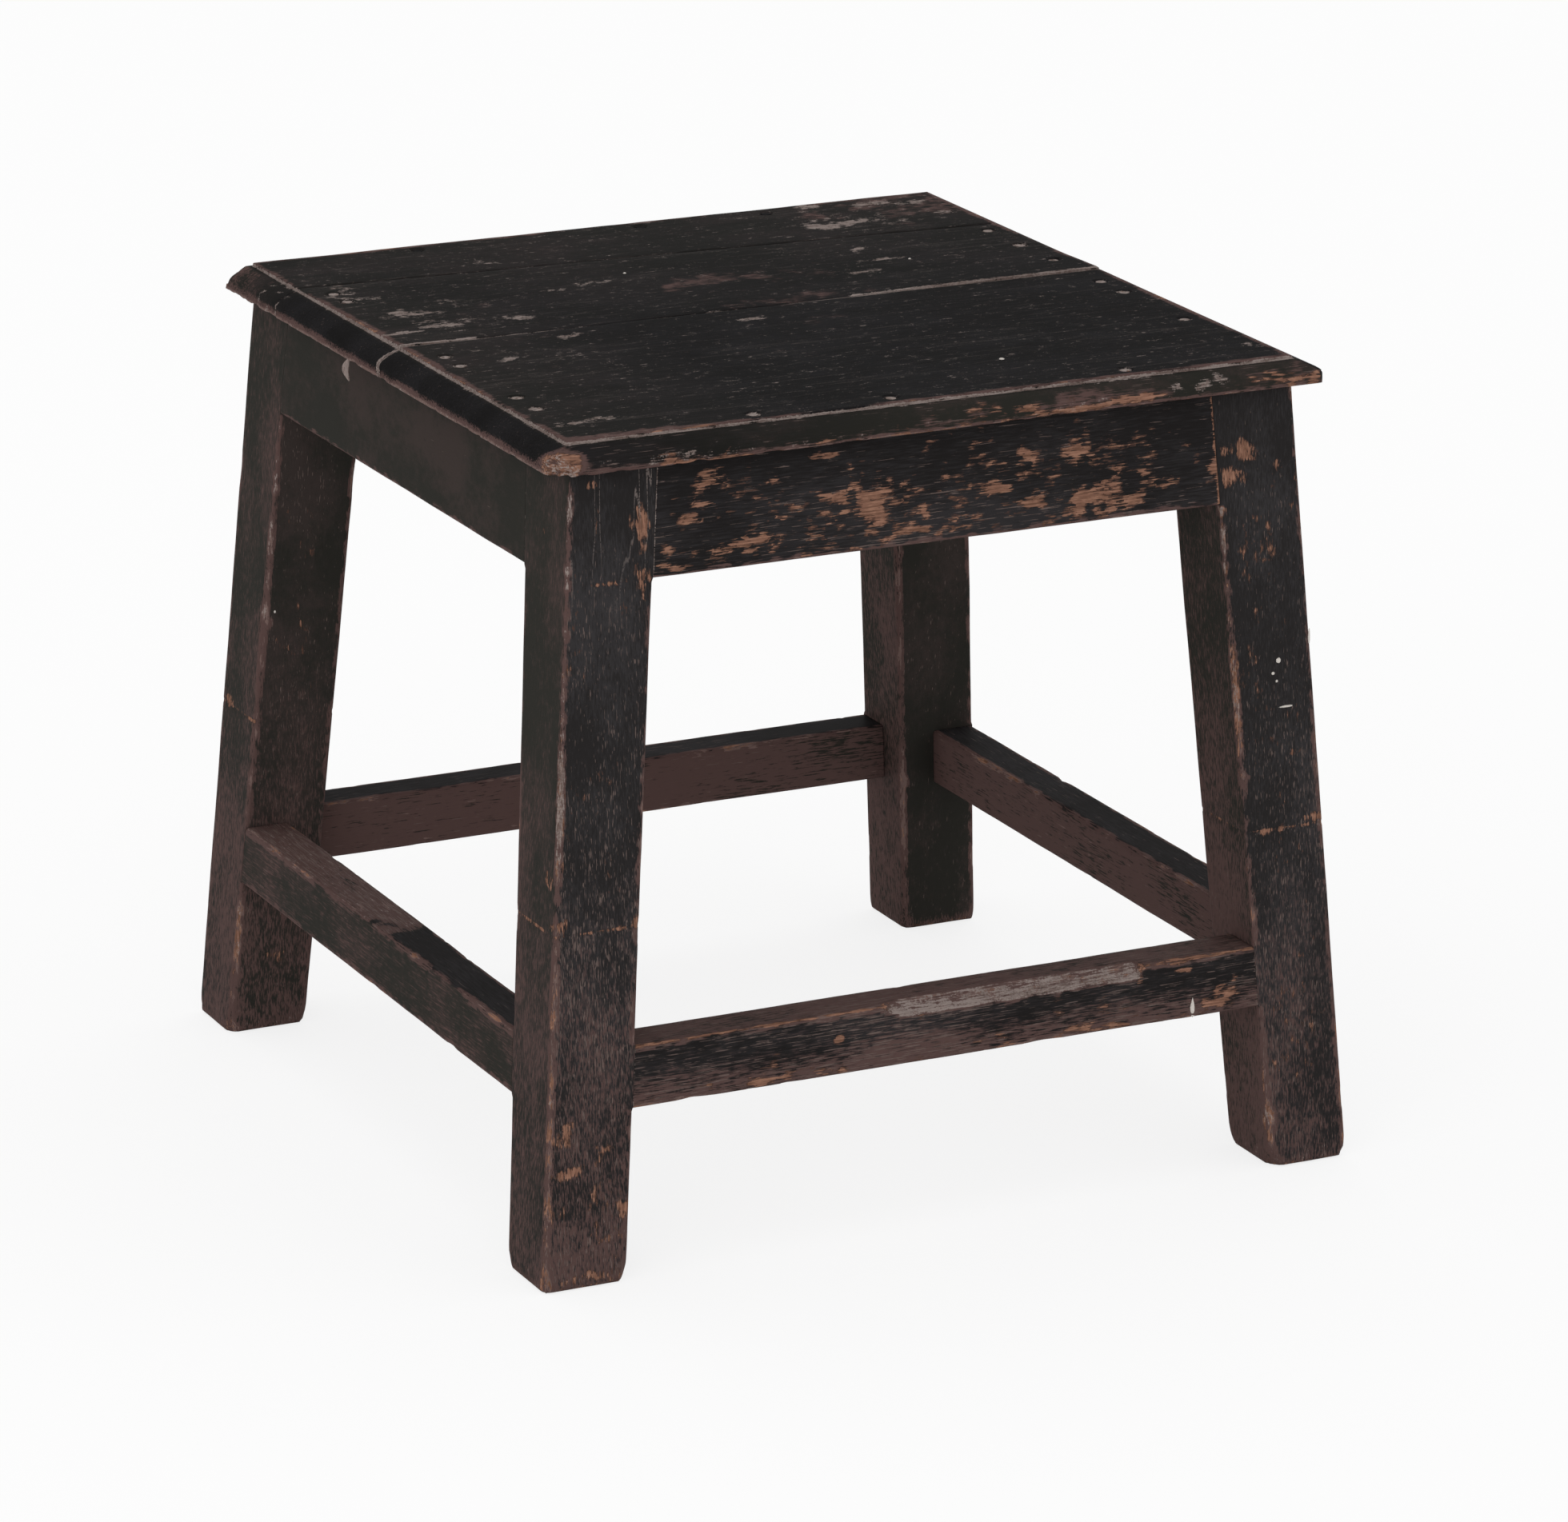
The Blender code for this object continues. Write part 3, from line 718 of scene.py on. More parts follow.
LIP_UNDERSIDE = 8 * MM
# The seat's black and its sheen tone are darker than those of the legs and rails: painted shade that keeps
# the upward face, which takes more light, as dark as the rest of the paint.
SEAT_SHADED_BLACK = linear("#171616")
SEAT_PAINTED_SHEEN = linear("#201f20")
seat_paint = worn_paint("worn_black_paint_on_seat_boards", 0, 15.0, SEAT_SHADED_BLACK, SEAT_PAINTED_SHEEN, gloss=0.003)

# The moulding's section, from the field's edge outwards: (how far in from the seat's edge, how far down).
moulding = [(QUIRK_INSET + 0.9 * MM, 0.0), (QUIRK_INSET + 0.25 * MM, 0.12 * MM), (QUIRK_INSET, 0.5 * MM),
            (QUIRK_INSET - 0.1 * MM, QUIRK_DROP - 0.25 * MM), (QUIRK_INSET - 0.4 * MM, QUIRK_DROP)]
for step in range(OVOLO_STEPS + 1):
    reach = math.sin(math.pi / 2 * step / OVOLO_STEPS)
    fall = OVOLO_ROUND * (1 - math.sqrt(1 - reach * reach)) + (1 - OVOLO_ROUND) * reach
    moulding.append((OVOLO_WIDTH * (1 - reach), QUIRK_DROP + OVOLO_DROP * fall))
moulding += [(0.0, SEAT_THICKNESS - LIP_WEAR), (0.0, SEAT_THICKNESS - LIP_EASE),
             (0.3 * LIP_EASE, SEAT_THICKNESS - 0.3 * LIP_EASE), (LIP_EASE, SEAT_THICKNESS),
             (LIP_UNDERSIDE, SEAT_THICKNESS)]


def seat_blank():
    """The whole seat as one moulded slab: a fine grid, with its edge carried out along the moulding."""
    slab = bmesh.new()
    inset, drop = moulding[0]
    half_x, half_y = SEAT_HALF.x - inset, SEAT_HALF.y - inset
    bmesh.ops.create_grid(slab, x_segments=round(2 * half_x / FIELD_SPACING),
                          y_segments=round(2 * half_y / FIELD_SPACING), size=0.5)
    bmesh.ops.scale(slab, vec=(2 * half_x, 2 * half_y, 1), verts=slab.verts)
    bmesh.ops.translate(slab, vec=(0, 0, SEAT_HIGH.z), verts=slab.verts)
    rim = [edge for edge in slab.edges if edge.is_boundary]
    for next_inset, next_drop in moulding[1:]:
        grown = bmesh.ops.extrude_edge_only(slab, edges=rim)["geom"]
        ring = [part for part in grown if isinstance(part, bmesh.types.BMVert)]
        rim = [part for part in grown if isinstance(part, bmesh.types.BMEdge) and part.is_boundary]
        bmesh.ops.scale(slab, vec=((SEAT_HALF.x - next_inset) / (SEAT_HALF.x - inset),
                                   (SEAT_HALF.y - next_inset) / (SEAT_HALF.y - inset), 1), verts=ring)
        bmesh.ops.translate(slab, vec=(0, 0, drop - next_drop), verts=ring)
        inset, drop = next_inset, next_drop
    bmesh.ops.contextual_create(slab, geom=rim)
    return slab


# The joints: the front one runs straight, the back one slants.
front_joint = (board_boxes["front"][1].y + board_boxes["middle"][0].y) / 2
back_joint_left = board_boxes["middle"][1].y
back_joint_right = board_boxes["back"][0].y
joint_gap = board_boxes["middle"][0].y - board_boxes["front"][1].y
back_slope = (back_joint_right - back_joint_left) / (2 * SEAT_HALF.x)


def back_joint(x):
    """Where the slanted joint lies across the seat at a place along it."""
    return (back_joint_left + back_joint_right) / 2 + back_slope * x


BOARD_CUTS = {
    "front": [((0, front_joint - joint_gap / 2, 0), (0, 1, 0))],
    "middle": [((0, front_joint + joint_gap / 2, 0), (0, -1, 0)),
               ((0, back_joint(0) - joint_gap / 2, 0), (-back_slope, 1, 0))],
    "back": [((0, back_joint(0) + joint_gap / 2, 0), (back_slope, -1, 0))],
}
NAIL_NODES = [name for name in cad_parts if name.startswith("nail_")]
nail_places = [(sum(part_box(name), Vector()) / 2).to_2d() for name in NAIL_NODES]
DIMPLE_RADIUS = 2.9 * MM
DIMPLE_SLOPE = 1.3 * MM
DIMPLE_DEPTH = 1.0 * MM
DIMPLE_CUTS = 3
DIMPLE_BREAK = 4 * MM
NAIL_REACH = 8 * MM
NAIL_DUST_SIZE = 9 * MM
CLEAN_NAIL_ROW = 180 * MM
ON_TOP = 0.01 * MM

# Dust and rubbed paint on the seat, seen from above: (X, Y, half length, half width, strength).
SEAT_DUST = [
    (-161, 65, 11, 9, 0.8), (-152, 58, 10, 6, 0.75), (-150, 31, 15, 5, 0.8), (-117, 29, 15, 6, 0.75),
    (-49, 80, 20, 8, 0.64), (-72, 73, 9, 5, 0.62), (-150, -42, 15, 5, 0.66), (-106, -9, 10, 5, 0.66),
    (-165, -162, 19, 6, 0.68), (114, 184, 11, 6, 0.85), (107, 144, 30, 9, 0.8), (99, 89, 14, 5, 0.66),
    (98, 65, 17, 4, 0.75), (79, 45, 13, 4, 0.75), (174, 147, 10, 5, 0.75), (150, 176, 15, 10, 0.7),
    (168, 176, 13, 10, 0.7), (-13, -19, 9, 4, 0.85), (178, -162, 9, 4, 0.7), (-180, 26, 11, 2.4, 1.1),
    (-80, 140, 40, 10, 0.4), (0, 165, 60, 12, 0.36), (130, 150, 60, 44, 0.38), (-150, 40, 50, 60, 0.4),
    (-130, -60, 50, 50, 0.36), (-172, 110, 16, 40, 0.48), (-100, -110, 70, 40, 0.32)]
SEAT_RUB = [
    (24, 60, 60, 30, 0.52), (20, 12, 70, 22, 0.44), (25, -33, 65, 14, 0.34), (-113, -10, 60, 14, 0.3),
    (-146, 46, 46, 38, 0.36), (160, 170, 60, 40, 0.6), (150, 40, 80, 80, 0.24), (0, 150, 190, 50, 0.24),
    (-160, -187, 44, 6, 1.3)]
FIELD_EDGE_WEAR = 5.0 * MM
# Bare wood, thin brown paint and white scuffs on the front moulding: (X, depth below the top, half length,
# half height, strength).
FRONT_LIP_BARE = [(58, 10.4, 66, 2.6, 0.68), (98, 9.0, 26, 3.4, 0.68), (-108, 11.4, 60, 2.0, 0.66),
                  (-20, 8.5, 20, 2.4, 0.60), (30, 6.5, 50, 4.0, 0.46), (166, 7.0, 36, 5.0, 0.50),
                  (192, 8.0, 12, 6.0, 0.62), (-130, 9.2, 70, 2.2, 0.44)]
FRONT_LIP_BROWN = [(60, 8.0, 80, 5.0, 0.8), (180, 7.0, 40, 6.0, 0.7), (-40, 9.0, 60, 4.0, 0.6)]
FRONT_LIP_WHITE = [(-145, 9.2, 90, 3.2, 0.42), (-60, 9.8, 60, 2.6, 0.43), (122, 5.0, 7, 4.0, 0.66),
                   (133, 4.6, 6, 4.0, 0.66), (143, 5.4, 6, 4.4, 0.64), (60, 9.0, 70, 4.0, 0.40)]
MOULDING_CUTS = (150 * MM, 138 * MM, 128 * MM)    # old knife cuts across the left moulding, by their Y
CUT_WIDTH = 1.0 * MM
CORNER_KNOCK = 9.0 * MM
CORNER_EASE = 2.5 * MM
CORNER_BREAK = 6 * MM
CORNER_WEAR = 12 * MM
CORNER_DUST = 7 * MM
WORN_CORNER_SLOPE = 1.5    # how far the back left corner is worn back for each millimetre above its foot
LIP_HANG = 2.6 * MM        # how far the lip's lower edge has frayed down on the left
HANG_LENGTH = 300 * MM
HANG_REACH = 4 * MM
BITE_SIZE = 6 * MM
BITE_REACH = 5 * MM
JOINT_WIDTH = 1.2 * MM
JOINT_ROUND = 1.5 * MM
SHUT_JOINT_LEFT = -150 * MM
SHUT_JOINT_RIGHT = 50 * MM
BOARD_SWELL = 60 * MM
BOARD_RIPPLE = 14 * MM
RISEN_WIDTH = 35 * MM
RISEN_RIGHT = 120 * MM
RISEN_RIGHT_REACH = 90 * MM
RISEN_LEFT = -180 * MM
RISEN_LEFT_REACH = 60 * MM


def risen(x):
    """How far the middle board stands above the front one along their joint."""
    right = fade(RISEN_RIGHT - x, RISEN_RIGHT_REACH)
    left = fade(x - RISEN_LEFT, RISEN_LEFT_REACH)
    return MM * (0.15 + 0.85 * right + 0.5 * left)


FIELD_PATCH = 45 * MM
FIELD_BREAK = 10 * MM
FIELD_ROUND = 0.3 * MM
# Where the seat goes browner and lighter, partly a brown film and partly a painted sheen, and how far that
# reaches.
BACK_BROWN_AND_SHEEN = 200 * MM
BACK_BROWN_AND_SHEEN_REACH = 220 * MM
LEFT_BROWN_AND_SHEEN = -190 * MM
LEFT_BROWN_AND_SHEEN_REACH = 120 * MM


def field_wear(point, inset, drop, seed):
    """The flat of the seat: black, with rubbed places, lying dust and a worn line along its edge, going
    browner and lighter towards the back and the left, which is partly a brown film and partly a painted
    sheen.
    """
    patchy = 0.55 + 0.8 * ripple(point, FIELD_PATCH, seed + 8) + 0.4 * ripple(point, FIELD_BREAK, seed + 9)
    edge = max(0, patchy) * fade(inset - QUIRK_INSET, FIELD_EDGE_WEAR)
    # Browner and lighter towards the back and the left: partly a brown film, partly a painted sheen.
    brown_and_sheen = max(fade(BACK_BROWN_AND_SHEEN - point.y, BACK_BROWN_AND_SHEEN_REACH), fade(point.x - LEFT_BROWN_AND_SHEEN, LEFT_BROWN_AND_SHEEN_REACH))
    return {"bare": 0.56 * edge, "rub": max(mark(point.x, point.y, SEAT_RUB), 1.8 * edge),
            "dust": max(mark(point.x, point.y, SEAT_DUST), 0.32, 0.55 if drop > FIELD_ROUND else 0.0),
            "film": 0.35 * brown_and_sheen, "pores": 0.24, "checks": 0.08}


QUIRK_EDGE = 0.2 * MM
QUIRK_PATCH = 60 * MM
QUIRK_BREAK = 9 * MM
LIP_PATCH = 28 * MM
LIP_BREAK = 7 * MM
NICK_SIZE = 5 * MM
NICK_DROP = 9 * MM
NICK_REACH = 2.4 * MM
NICKED_END = -70 * MM
NICKED_FADE = 30 * MM
BEHIND_REACH = 80 * MM
BEHIND_BREAK = 12 * MM


def moulding_wear(point, inset, drop, left, front, seed):
    """The moulding: a pale quirk that is partly dust and partly a painted highlight, fading onto the ovolo's
    top as a painted sheen, a scuffed ovolo in front and a worn lip below.
    """
    patchy = 0.75 + 0.5 * ripple(point, LIP_PATCH, seed + 12) + 0.35 * ripple(point, LIP_BREAK, seed + 13)
    if drop < QUIRK_DROP + QUIRK_EDGE:
        # Pale in the quirk, partly dust and partly a painted highlight, and fainter on the ovolo's top as a
        # painted sheen.
        quirk_dust_and_highlight = 1.3 if inset > OVOLO_WIDTH + QUIRK_EDGE else 0.38
        broken = 1 + 0.3 * ripple(point, QUIRK_PATCH, seed + 15)
        broken += 0.5 * ripple(point, QUIRK_BREAK, seed + 16)
        return {"dust": quirk_dust_and_highlight * broken, "pores": 0.3, "film": 0.4}
    lip = fade(SEAT_THICKNESS - drop - LIP_EASE, LIP_WEAR)
    wear = {"pores": 0.45, "rub": max(0.15, 1.9 * lip * patchy), "bare": 0.40 * lip * patchy, "dust": 0.0}
    if front:
        wear["film"] = 0.75 * (1 - fade(point.x + SEAT_HALF.x, SEAT_HALF.x))
        wear["bare"] = max(0.45 * lip * patchy, mark(point.x, drop, FRONT_LIP_BARE))
        wear["rub"] = max(wear["rub"], mark(point.x, drop, FRONT_LIP_BROWN))
        nick = max(0, 1.9 * ripple(point, NICK_SIZE, seed + 14)) * fade(abs(drop - NICK_DROP), NICK_REACH)
        wear["dust"] = max(0.27, nick * (0.4 + 0.6 * fade(point.x - NICKED_END, NICKED_FADE)),
                           mark(point.x, drop, FRONT_LIP_WHITE))
    elif left:
        cut = min(abs(point.y - place - 0.5 * drop) for place in MOULDING_CUTS)
        behind = fade(BACK_BROWN_AND_SHEEN - point.y, BEHIND_REACH)
        wear["dust"] = max(0.44 * lip, 0.8 * fade(cut, CUT_WIDTH), 0.22)
        wear["pores"] = 0.30
        wear["rub"] = max(0.12, 2.3 * lip, (0.45 + 0.8 * ripple(point, BEHIND_BREAK, seed + 17)) * behind)
        wear["bare"] = 0.25 * lip * patchy
        wear["film"] = 0.8 * behind
    return wear


FIELD_FOOT = 0.7 * MM
UNDERSIDE = 0.1 * MM


def board(name):
    """One board cut from the moulded slab, with its nail holes, uneven surface, worn edges and dust."""
    slab = seat_blank()
    for place, outward in BOARD_CUTS[name]:
        cut = bmesh.ops.bisect_plane(slab, geom=whole(slab), plane_co=place, plane_no=outward,
                                     clear_outer=True)
        cut_edges = [part for part in cut["geom_cut"] if isinstance(part, bmesh.types.BMEdge)]
        bmesh.ops.contextual_create(slab, geom=cut_edges)
    low, high = board_boxes[name]
    nails = [nail for nail in nail_places if low.y < nail.y < high.y]
    for nail in nails:
        near_nail = [edge for edge in slab.edges
                     if all(vert.co.z > SEAT_HIGH.z - ON_TOP and (vert.co.to_2d() - nail).length < NAIL_REACH
                            for vert in edge.verts)]
        bmesh.ops.subdivide_edges(slab, edges=near_nail, cuts=DIMPLE_CUTS, use_grid_fill=True)
    slab.normal_update()
    bmesh.ops.recalc_face_normals(slab, faces=slab.faces)
    seed = 100.0 + 7 * BOARD_NAMES.index(name)
    lay = lay_wear(slab)
    for vert in slab.verts:
        point = vert.co.copy()
        inset_x = SEAT_HALF.x - abs(point.x)
        inset_y = SEAT_HALF.y - abs(point.y)
        inset = min(inset_x, inset_y)
        drop = SEAT_HIGH.z - point.z
        joint = min(abs(point.y - front_joint), abs(point.y - back_joint(point.x)))
        in_field = inset > QUIRK_INSET - QUIRK_EDGE and drop < FIELD_FOOT
        if in_field:
            swell = 0.25 * ripple(point, BOARD_SWELL, seed) + 0.1 * ripple(point, BOARD_RIPPLE, seed + 3)
            vert.co.z += MM * (swell - 0.35 * fade(joint, JOINT_ROUND))
            if name == "middle":
                vert.co.z += risen(point.x) * fade(point.y - front_joint, RISEN_WIDTH)
            wear = field_wear(point, inset, drop, seed)
        elif drop < SEAT_THICKNESS - UNDERSIDE:
            left = point.x < 0 and inset_x < inset_y
            front = point.y < 0 and inset_y <= inset_x
            bite = max(0, ripple(point, BITE_SIZE, seed) - 0.05) * fade(SEAT_THICKNESS - drop, BITE_REACH)
            vert.co -= vert.normal * MM * bite * (2.6 if front else 1.6)
            hanging = fade(QUIRK_DROP + OVOLO_DROP - drop + HANG_REACH, HANG_REACH) * fade(inset, MM)
            vert.co.z -= LIP_HANG * fade(point.x + SEAT_HALF.x, HANG_LENGTH) * hanging
            wear = moulding_wear(point, inset, drop, left, front, seed)
        else:
            wear = {"bare": 0.5, "rub": 1.0, "film": 0.5, "pores": 0.2}
        knocked = point.x < 0 and point.y < 0
        spread = CORNER_KNOCK if knocked else CORNER_EASE
        spread *= 1 + 0.5 * ripple(point, CORNER_BREAK, seed + 21)
        if point.x < 0 and point.y > 0:
            spread += WORN_CORNER_SLOPE * (SEAT_THICKNESS - drop)
        corner = inset_x + inset_y
        if corner < spread:
            vert.co.x -= math.copysign((spread - corner) / 2, point.x)
            vert.co.y -= math.copysign((spread - corner) / 2, point.y)
        if knocked:
            for layer, strength, reach in (("bare", 0.64, CORNER_WEAR), ("rub", 1.6, CORNER_WEAR),
                                           ("dust", 0.46, CORNER_DUST)):
                wear[layer] = max(wear.get(layer, 0), strength * fade(corner - spread, reach))
        if joint < JOINT_WIDTH:
            at_front = abs(point.y - front_joint) < JOINT_WIDTH
            open_joint = at_front and not SHUT_JOINT_LEFT <= point.x <= SHUT_JOINT_RIGHT
            wear["dust"] = max(wear.get("dust", 0), 1.0 if open_joint else 0.32)
        for nail in nails:
            away = (point.to_2d() - nail).length
            if in_field and away < NAIL_REACH:
                edge = DIMPLE_RADIUS * (1 + 0.35 * ripple(point, DIMPLE_BREAK, seed + 30))
                vert.co.z -= DIMPLE_DEPTH * fade(away - edge, DIMPLE_SLOPE)
                dusty = 0.0
                if nail.y < CLEAN_NAIL_ROW:
                    dusty = 0.55 + 0.5 * ripple(nail.to_3d(), NAIL_DUST_SIZE, seed + 31)
                wear["dust"] = max(wear["dust"], dusty * fade(away - edge, 1.6 * DIMPLE_SLOPE))
        lay(vert, wear)
    finish_piece(slab, "worn_seat_board_" + name, seat_paint, "seat_paint", "seat_board_" + name)


for board_name in BOARD_NAMES:
    board(board_name)

# Nails: hand-cut iron nails with round heads, driven through the seat boards into the aprons and set a
# little below the surface. Rust has dulled the iron, grey dust has caked on the heads, and the paint still
# covers those at the back.
IRON_DARK = linear("#3a3431")
IRON_RUST = linear("#6a5043")
# What lies over the iron: (colour, size of its spots, where it begins, where it is full).
NAIL_COATS = ((IRON_RUST, 1.6 * MM, 0.42, 0.60), (DUST_PALE, 2.6 * MM, 0.34, 0.56))
NAIL_RELIEF = 0.3 * MM
nail_iron, nail_tree, nail_shader = start_material("rusty_iron_caked_with_dust")
nail_place = add(nail_tree, "ShaderNodeTexCoord", {}, {}).outputs["Object"]
nail_colour = IRON_DARK
for nail_tone, nail_spot, nail_begin, nail_full in NAIL_COATS:
    nail_noise = add(nail_tree, "ShaderNodeTexNoise", {},
                     {"Vector": nail_place, "Scale": 1 / nail_spot, "Detail": 4.0, "Roughness": 0.65})
    nail_share = add(nail_tree, "ShaderNodeMapRange", {"interpolation_type": "SMOOTHSTEP"},
                     {"Value": nail_noise.outputs["Fac"], "From Min": nail_begin, "From Max": nail_full})
    nail_mix = add(nail_tree, "ShaderNodeMix", {"data_type": "RGBA"},
                   {0: nail_share.outputs[0], 6: nail_colour, 7: nail_tone})
    nail_colour = nail_mix.outputs[2]
nail_tree.links.new(nail_colour, nail_shader.inputs["Base Color"])
nail_relief = add(nail_tree, "ShaderNodeBump", {},
                  {"Height": nail_noise.outputs["Fac"], "Distance": NAIL_RELIEF})
nail_tree.links.new(nail_relief.outputs["Normal"], nail_shader.inputs["Normal"])
nail_shader.inputs["Metallic"].default_value = 0.25
nail_shader.inputs["Roughness"].default_value = 0.75
nail_shader.inputs["Specular IOR Level"].default_value = 0.05
for nail_name in NAIL_NODES:
    nail_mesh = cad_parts[nail_name].data
    nail_mesh.materials.clear()
    nail_mesh.materials.append(seat_paint if nail_name.startswith("nail_back") else nail_iron)

# Splinter: a curl of wood fibre torn from the underside of the left lip. It still hangs by its upper end,
# and dust has turned it grey.
SPLINTER_ROOT = Vector((-SEAT_HALF.x + 0.6 * MM, 40 * MM, SEAT_LOW.z - 1.4 * MM))
SPLINTER_LENGTH = 11 * MM
SPLINTER_WIDTH = 4.4 * MM
SPLINTER_THICKNESS = 0.6 * MM
SPLINTER_BOW = 2.0 * MM
SPLINTER_SIDES = 10
SPLINTER_CUTS = 11
SPLINTER_LIE = Vector((0.7, -0.7, 0))
SPLINTER_FACE = Vector((0.7, 0.7, 0))
splinter = bmesh.new()
bmesh.ops.create_cone(splinter, segments=SPLINTER_SIDES, radius1=0.5, radius2=0.5, depth=1.0, cap_ends=True)
splinter_sides = [edge for edge in splinter.edges if edge.verts[0].co.z * edge.verts[1].co.z < 0]
bmesh.ops.subdivide_edges(splinter, edges=splinter_sides, cuts=SPLINTER_CUTS, use_grid_fill=True)
for vert in splinter.verts:
    share = 0.5 - vert.co.z
    width = SPLINTER_WIDTH * math.sin(math.pi * (0.08 + 0.84 * share)) * (1 - 0.3 * share)
    bow = SPLINTER_BOW * math.sin(math.pi * share)
    across = SPLINTER_LIE * vert.co.y * width + SPLINTER_FACE * vert.co.x * SPLINTER_THICKNESS
    vert.co = SPLINTER_ROOT + across + Vector((-0.5 * bow, bow, -SPLINTER_LENGTH * share))
splinter.normal_update()
bmesh.ops.recalc_face_normals(splinter, faces=splinter.faces)
for layer, value in (("rub", 2.5), ("dust", 1.1)):
    splinter_layer = splinter.verts.layers.float.new(layer)
    for vert in splinter.verts:
        vert[splinter_layer] = value
finish_piece(splinter, "lip_splinter", leg_paint, "seat_paint")

# White specks: drops and one run of limewash that splashed on the legs, the front stretcher and the seat,
# and dried there as thin hard blobs.
LIME_WHITE = linear("#d8d3cc")
LIME_GREY = linear("#a89f98")
LIME_MOTTLE = 0.8 * MM
SPECK_THICKNESS = 0.5    # in millimetres, as the specks' other sizes are
limewash, lime_tree, lime_shader = start_material("dried_limewash_splash")
lime_place = add(lime_tree, "ShaderNodeTexCoord", {}, {}).outputs["Object"]
lime_noise = add(lime_tree, "ShaderNodeTexNoise", {},
                 {"Vector": lime_place, "Scale": 1 / LIME_MOTTLE, "Detail": 3.0})
lime_mix = add(lime_tree, "ShaderNodeMix", {"data_type": "RGBA"},
               {0: lime_noise.outputs["Fac"], 6: LIME_GREY, 7: LIME_WHITE})
lime_tree.links.new(lime_mix.outputs[2], lime_shader.inputs["Base Color"])
lime_shader.inputs["Roughness"].default_value = 0.8
lime_shader.inputs["Specular IOR Level"].default_value = 0.1

# On the front faces: (leg whose plane it lies in, X, height, half width, half height, taper upwards), in mm.
FRONT_SPECKS = [("front_right", 179, 253, 1.3, 1.4, 0.0), ("front_right", 176, 247, 0.9, 0.8, 0.0),
                ("front_right", 178, 243, 0.7, 0.7, 0.0), ("front_right", 183, 230, 4.0, 0.6, 0.0),
                ("front_right", 196, 263, 0.7, 4.0, 0.4), ("front_left", 130, 88, 2.3, 5.0, 0.85),
                ("back_left", -193, 228, 0.6, 0.8, 0.0)]
# On top of the seat: (X, Y, half length), in mm.
SEAT_SPECKS = [(60, -139, 1.3), (-30, 92, 0.8), (112, 60, 0.7)]


def speck(splashes, place, sizes, taper):
    """One dried drop: a flattened ball, drawn thin towards its upper end where it has run."""
    ball = bmesh.ops.create_icosphere(splashes, subdivisions=2, radius=1.0)["verts"]
    for vert in ball:
        thin = 1 - taper * (vert.co.z + 1) / 2
        wobble = 1 + 0.25 * ripple(vert.co, 0.9, place.x / MM)
        vert.co = place + MM * Vector((vert.co.x * sizes[0] * thin * wobble, vert.co.y * sizes[1] * thin,
                                       vert.co.z * sizes[2] * wobble))


splashes = bmesh.new()
for speck_leg, speck_x, speck_z, half_width, half_height, taper in FRONT_SPECKS:
    speck_place = Vector((speck_x * MM, leg_side(speck_leg, 1, 0, speck_z * MM), speck_z * MM))
    speck(splashes, speck_place, (half_width, SPECK_THICKNESS, half_height), taper)
for speck_x, speck_y, half_width in SEAT_SPECKS:
    speck_place = Vector((speck_x * MM, speck_y * MM, SEAT_HIGH.z))
    speck(splashes, speck_place, (half_width, half_width, SPECK_THICKNESS), 0.0)
finish_piece(splashes, "limewash_specks", limewash, "leg_paint")

# Floor and light: a matt white studio floor under a bright even sky, with one broad soft lamp at the left.
# To the camera the floor mostly glows, so that it runs on into the white behind the stool.
FLOOR_WIDTH = 12.0
FLOOR_DROP = 0.3 * MM
FLOOR_GLOW = 0.80
SKY_LIGHT = 0.95


def shown_rays(tree):
    """1 on rays that show the background: straight from the camera, or by way of gloss or glass."""
    seen = add(tree, "ShaderNodeLightPath", {}, {})
    share = seen.outputs["Is Camera Ray"]
    for ray in ("Is Glossy Ray", "Is Transmission Ray"):
        share = add(tree, "ShaderNodeMath", {"operation": "MAXIMUM"},
                    {0: share, 1: seen.outputs[ray]}).outputs[0]
    return share


floor_sheet = bmesh.new()
bmesh.ops.create_grid(floor_sheet, x_segments=1, y_segments=1, size=FLOOR_WIDTH / 2)
bmesh.ops.translate(floor_sheet, vec=(0, 0, -FLOOR_DROP), verts=floor_sheet.verts)
floor_mesh = bpy.data.meshes.new("studio_floor")
floor_sheet.to_mesh(floor_mesh)
floor_sheet.free()
floor_paint, floor_tree, floor_shader = start_material("matt_white_studio_floor")
floor_shader.inputs["Base Color"].default_value = linear("#f6f6f6")
floor_shader.inputs["Roughness"].default_value = 0.9
floor_shader.inputs["Specular IOR Level"].default_value = 0.0
glow = add(floor_tree, "ShaderNodeEmission", {}, {"Color": (1, 1, 1, 1), "Strength": 1.0})
glow_share = add(floor_tree, "ShaderNodeMath", {"operation": "MULTIPLY"},
                 {0: shown_rays(floor_tree), 1: FLOOR_GLOW})
floor_mix = add(floor_tree, "ShaderNodeMixShader", {},
                {0: glow_share.outputs[0], 1: floor_shader.outputs[0], 2: glow.outputs[0]})
floor_tree.links.new(floor_mix.outputs[0], floor_tree.nodes["Material Output"].inputs["Surface"])
floor_mesh.materials.append(floor_paint)
floor = bpy.data.objects.new("studio_floor", floor_mesh)
bpy.context.scene.collection.objects.link(floor)

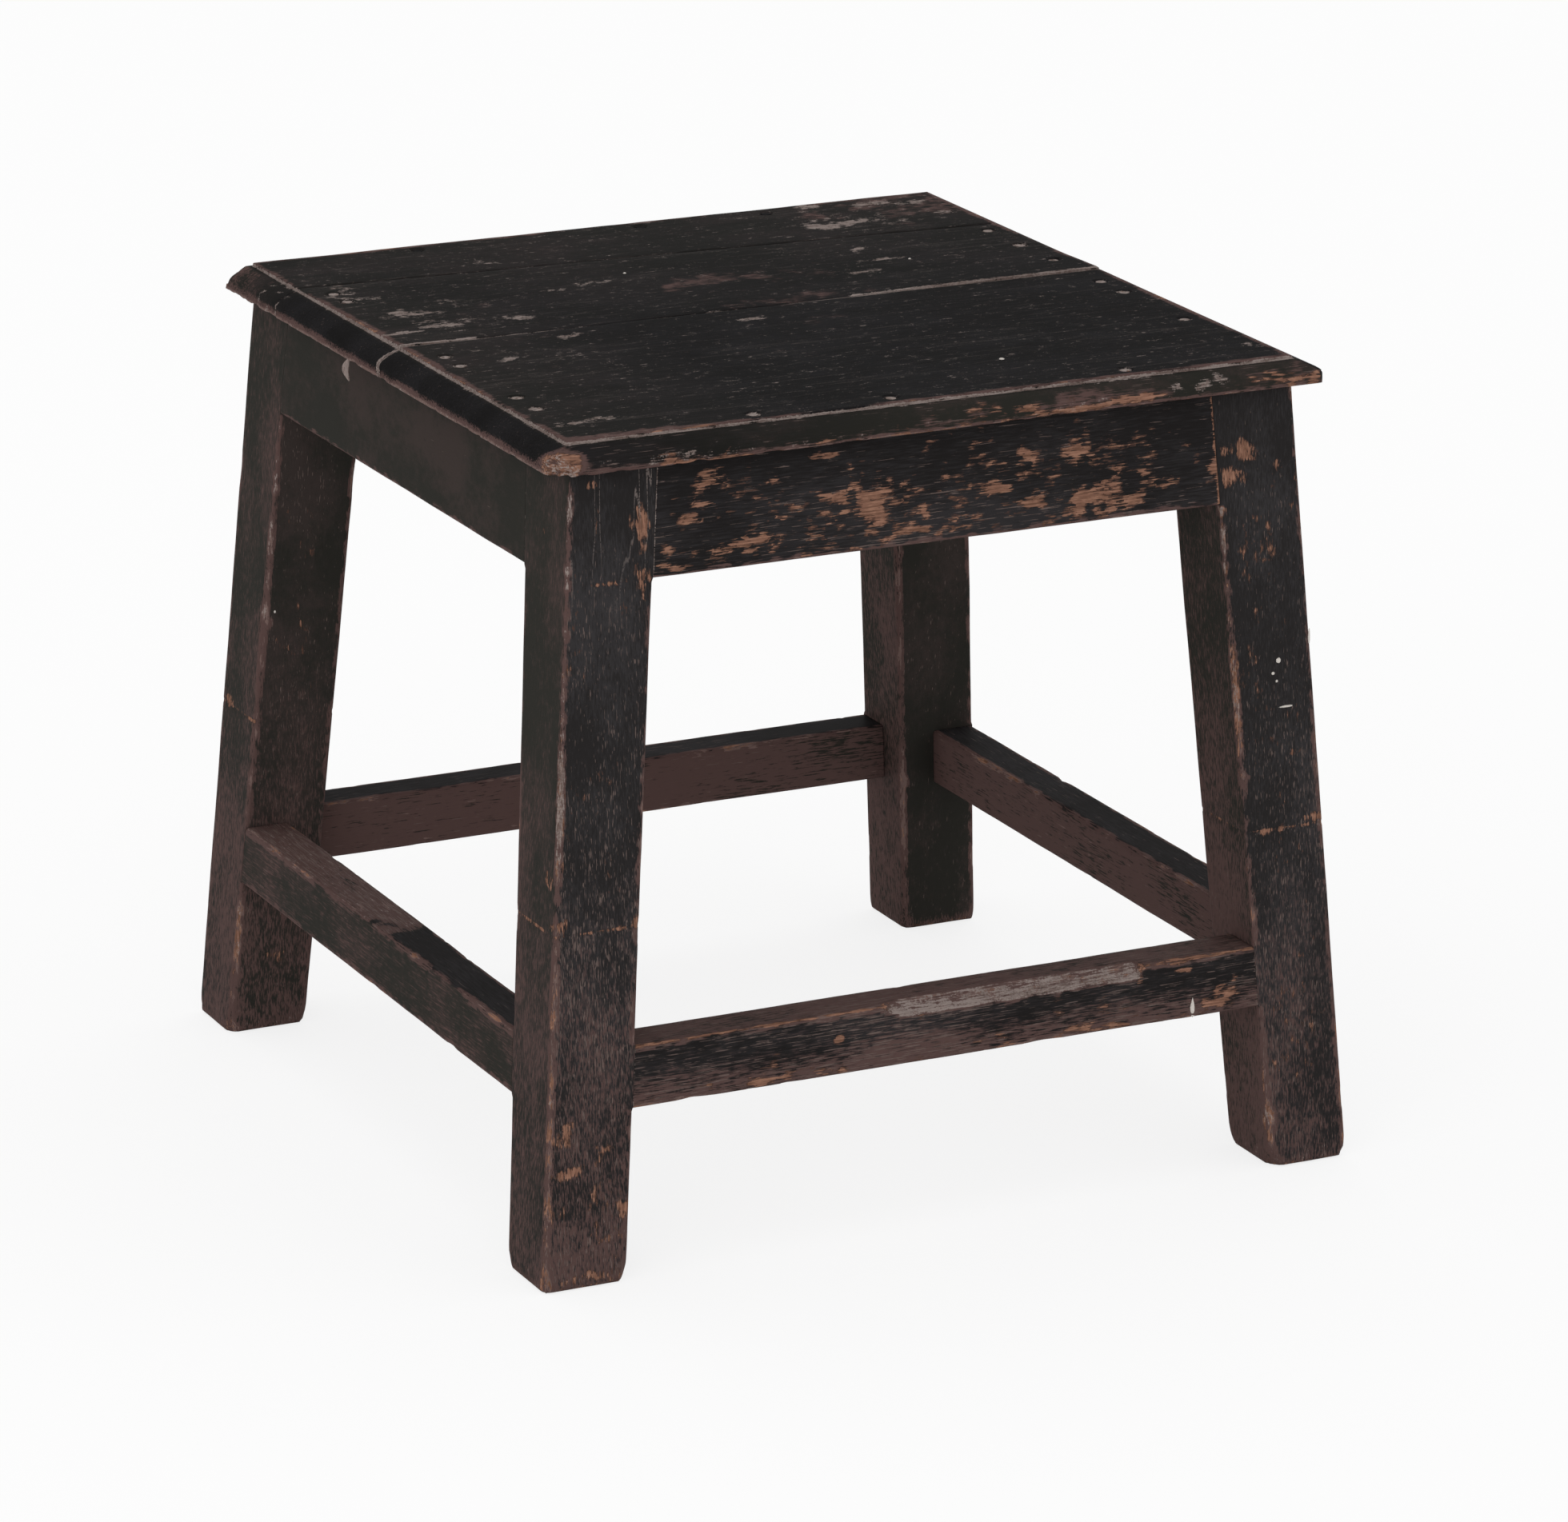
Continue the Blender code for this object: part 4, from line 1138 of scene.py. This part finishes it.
world = bpy.data.worlds.new("white_studio")
world.use_nodes = True
sky_tree = world.node_tree
level = add(sky_tree, "ShaderNodeMapRange", {},
            {"Value": shown_rays(sky_tree), "To Min": SKY_LIGHT, "To Max": 1.0})
sky_tree.nodes["Background"].inputs["Color"].default_value = (1, 1, 1, 1)
sky_tree.links.new(level.outputs[0], sky_tree.nodes["Background"].inputs["Strength"])
bpy.context.scene.world = world

KEY_PLACE = Vector((-2.2, -2.4, 1.4))
KEY_AIM = Vector((0, 0, 0.25))
KEY_SIZE = 1.8
KEY_POWER = 15
key_light = bpy.data.lights.new("soft_key", "AREA")
key_light.size = KEY_SIZE
key_light.energy = KEY_POWER
key = bpy.data.objects.new("soft_key", key_light)
key.location = KEY_PLACE
key.rotation_euler = (KEY_AIM - KEY_PLACE).to_track_quat("-Z", "Y").to_euler()
bpy.context.scene.collection.objects.link(key)

# Camera: a long lens, standing to the left of the front and looking a little down, level but for a hair.
# Its place was worked out from the stool's corners and edges in the photograph.
CAMERA_AZIMUTH = math.radians(25.98)
CAMERA_DROP = math.radians(17.57)
CAMERA_ROLL = math.radians(0.27)
CAMERA_DISTANCE = 3.4655
CAMERA_LENS = 160.9
CAMERA_SENSOR = 36.0
CAMERA_AIM = Vector((0.0076, -0.0137, 0.1718))
camera = bpy.data.objects.new("camera", bpy.data.cameras.new("camera"))
camera.data.lens = CAMERA_LENS
camera.data.sensor_width = CAMERA_SENSOR
gaze = Vector((math.sin(CAMERA_AZIMUTH) * math.cos(CAMERA_DROP),
               math.cos(CAMERA_AZIMUTH) * math.cos(CAMERA_DROP), -math.sin(CAMERA_DROP)))
camera.matrix_world = (Matrix.Translation(CAMERA_AIM - gaze * CAMERA_DISTANCE)
                       @ gaze.to_track_quat("-Z", "Y").to_matrix().to_4x4()
                       @ Matrix.Rotation(CAMERA_ROLL, 4, "Z"))
bpy.context.scene.collection.objects.link(camera)
bpy.context.scene.camera = camera
bpy.context.scene.view_settings.view_transform = "Standard"
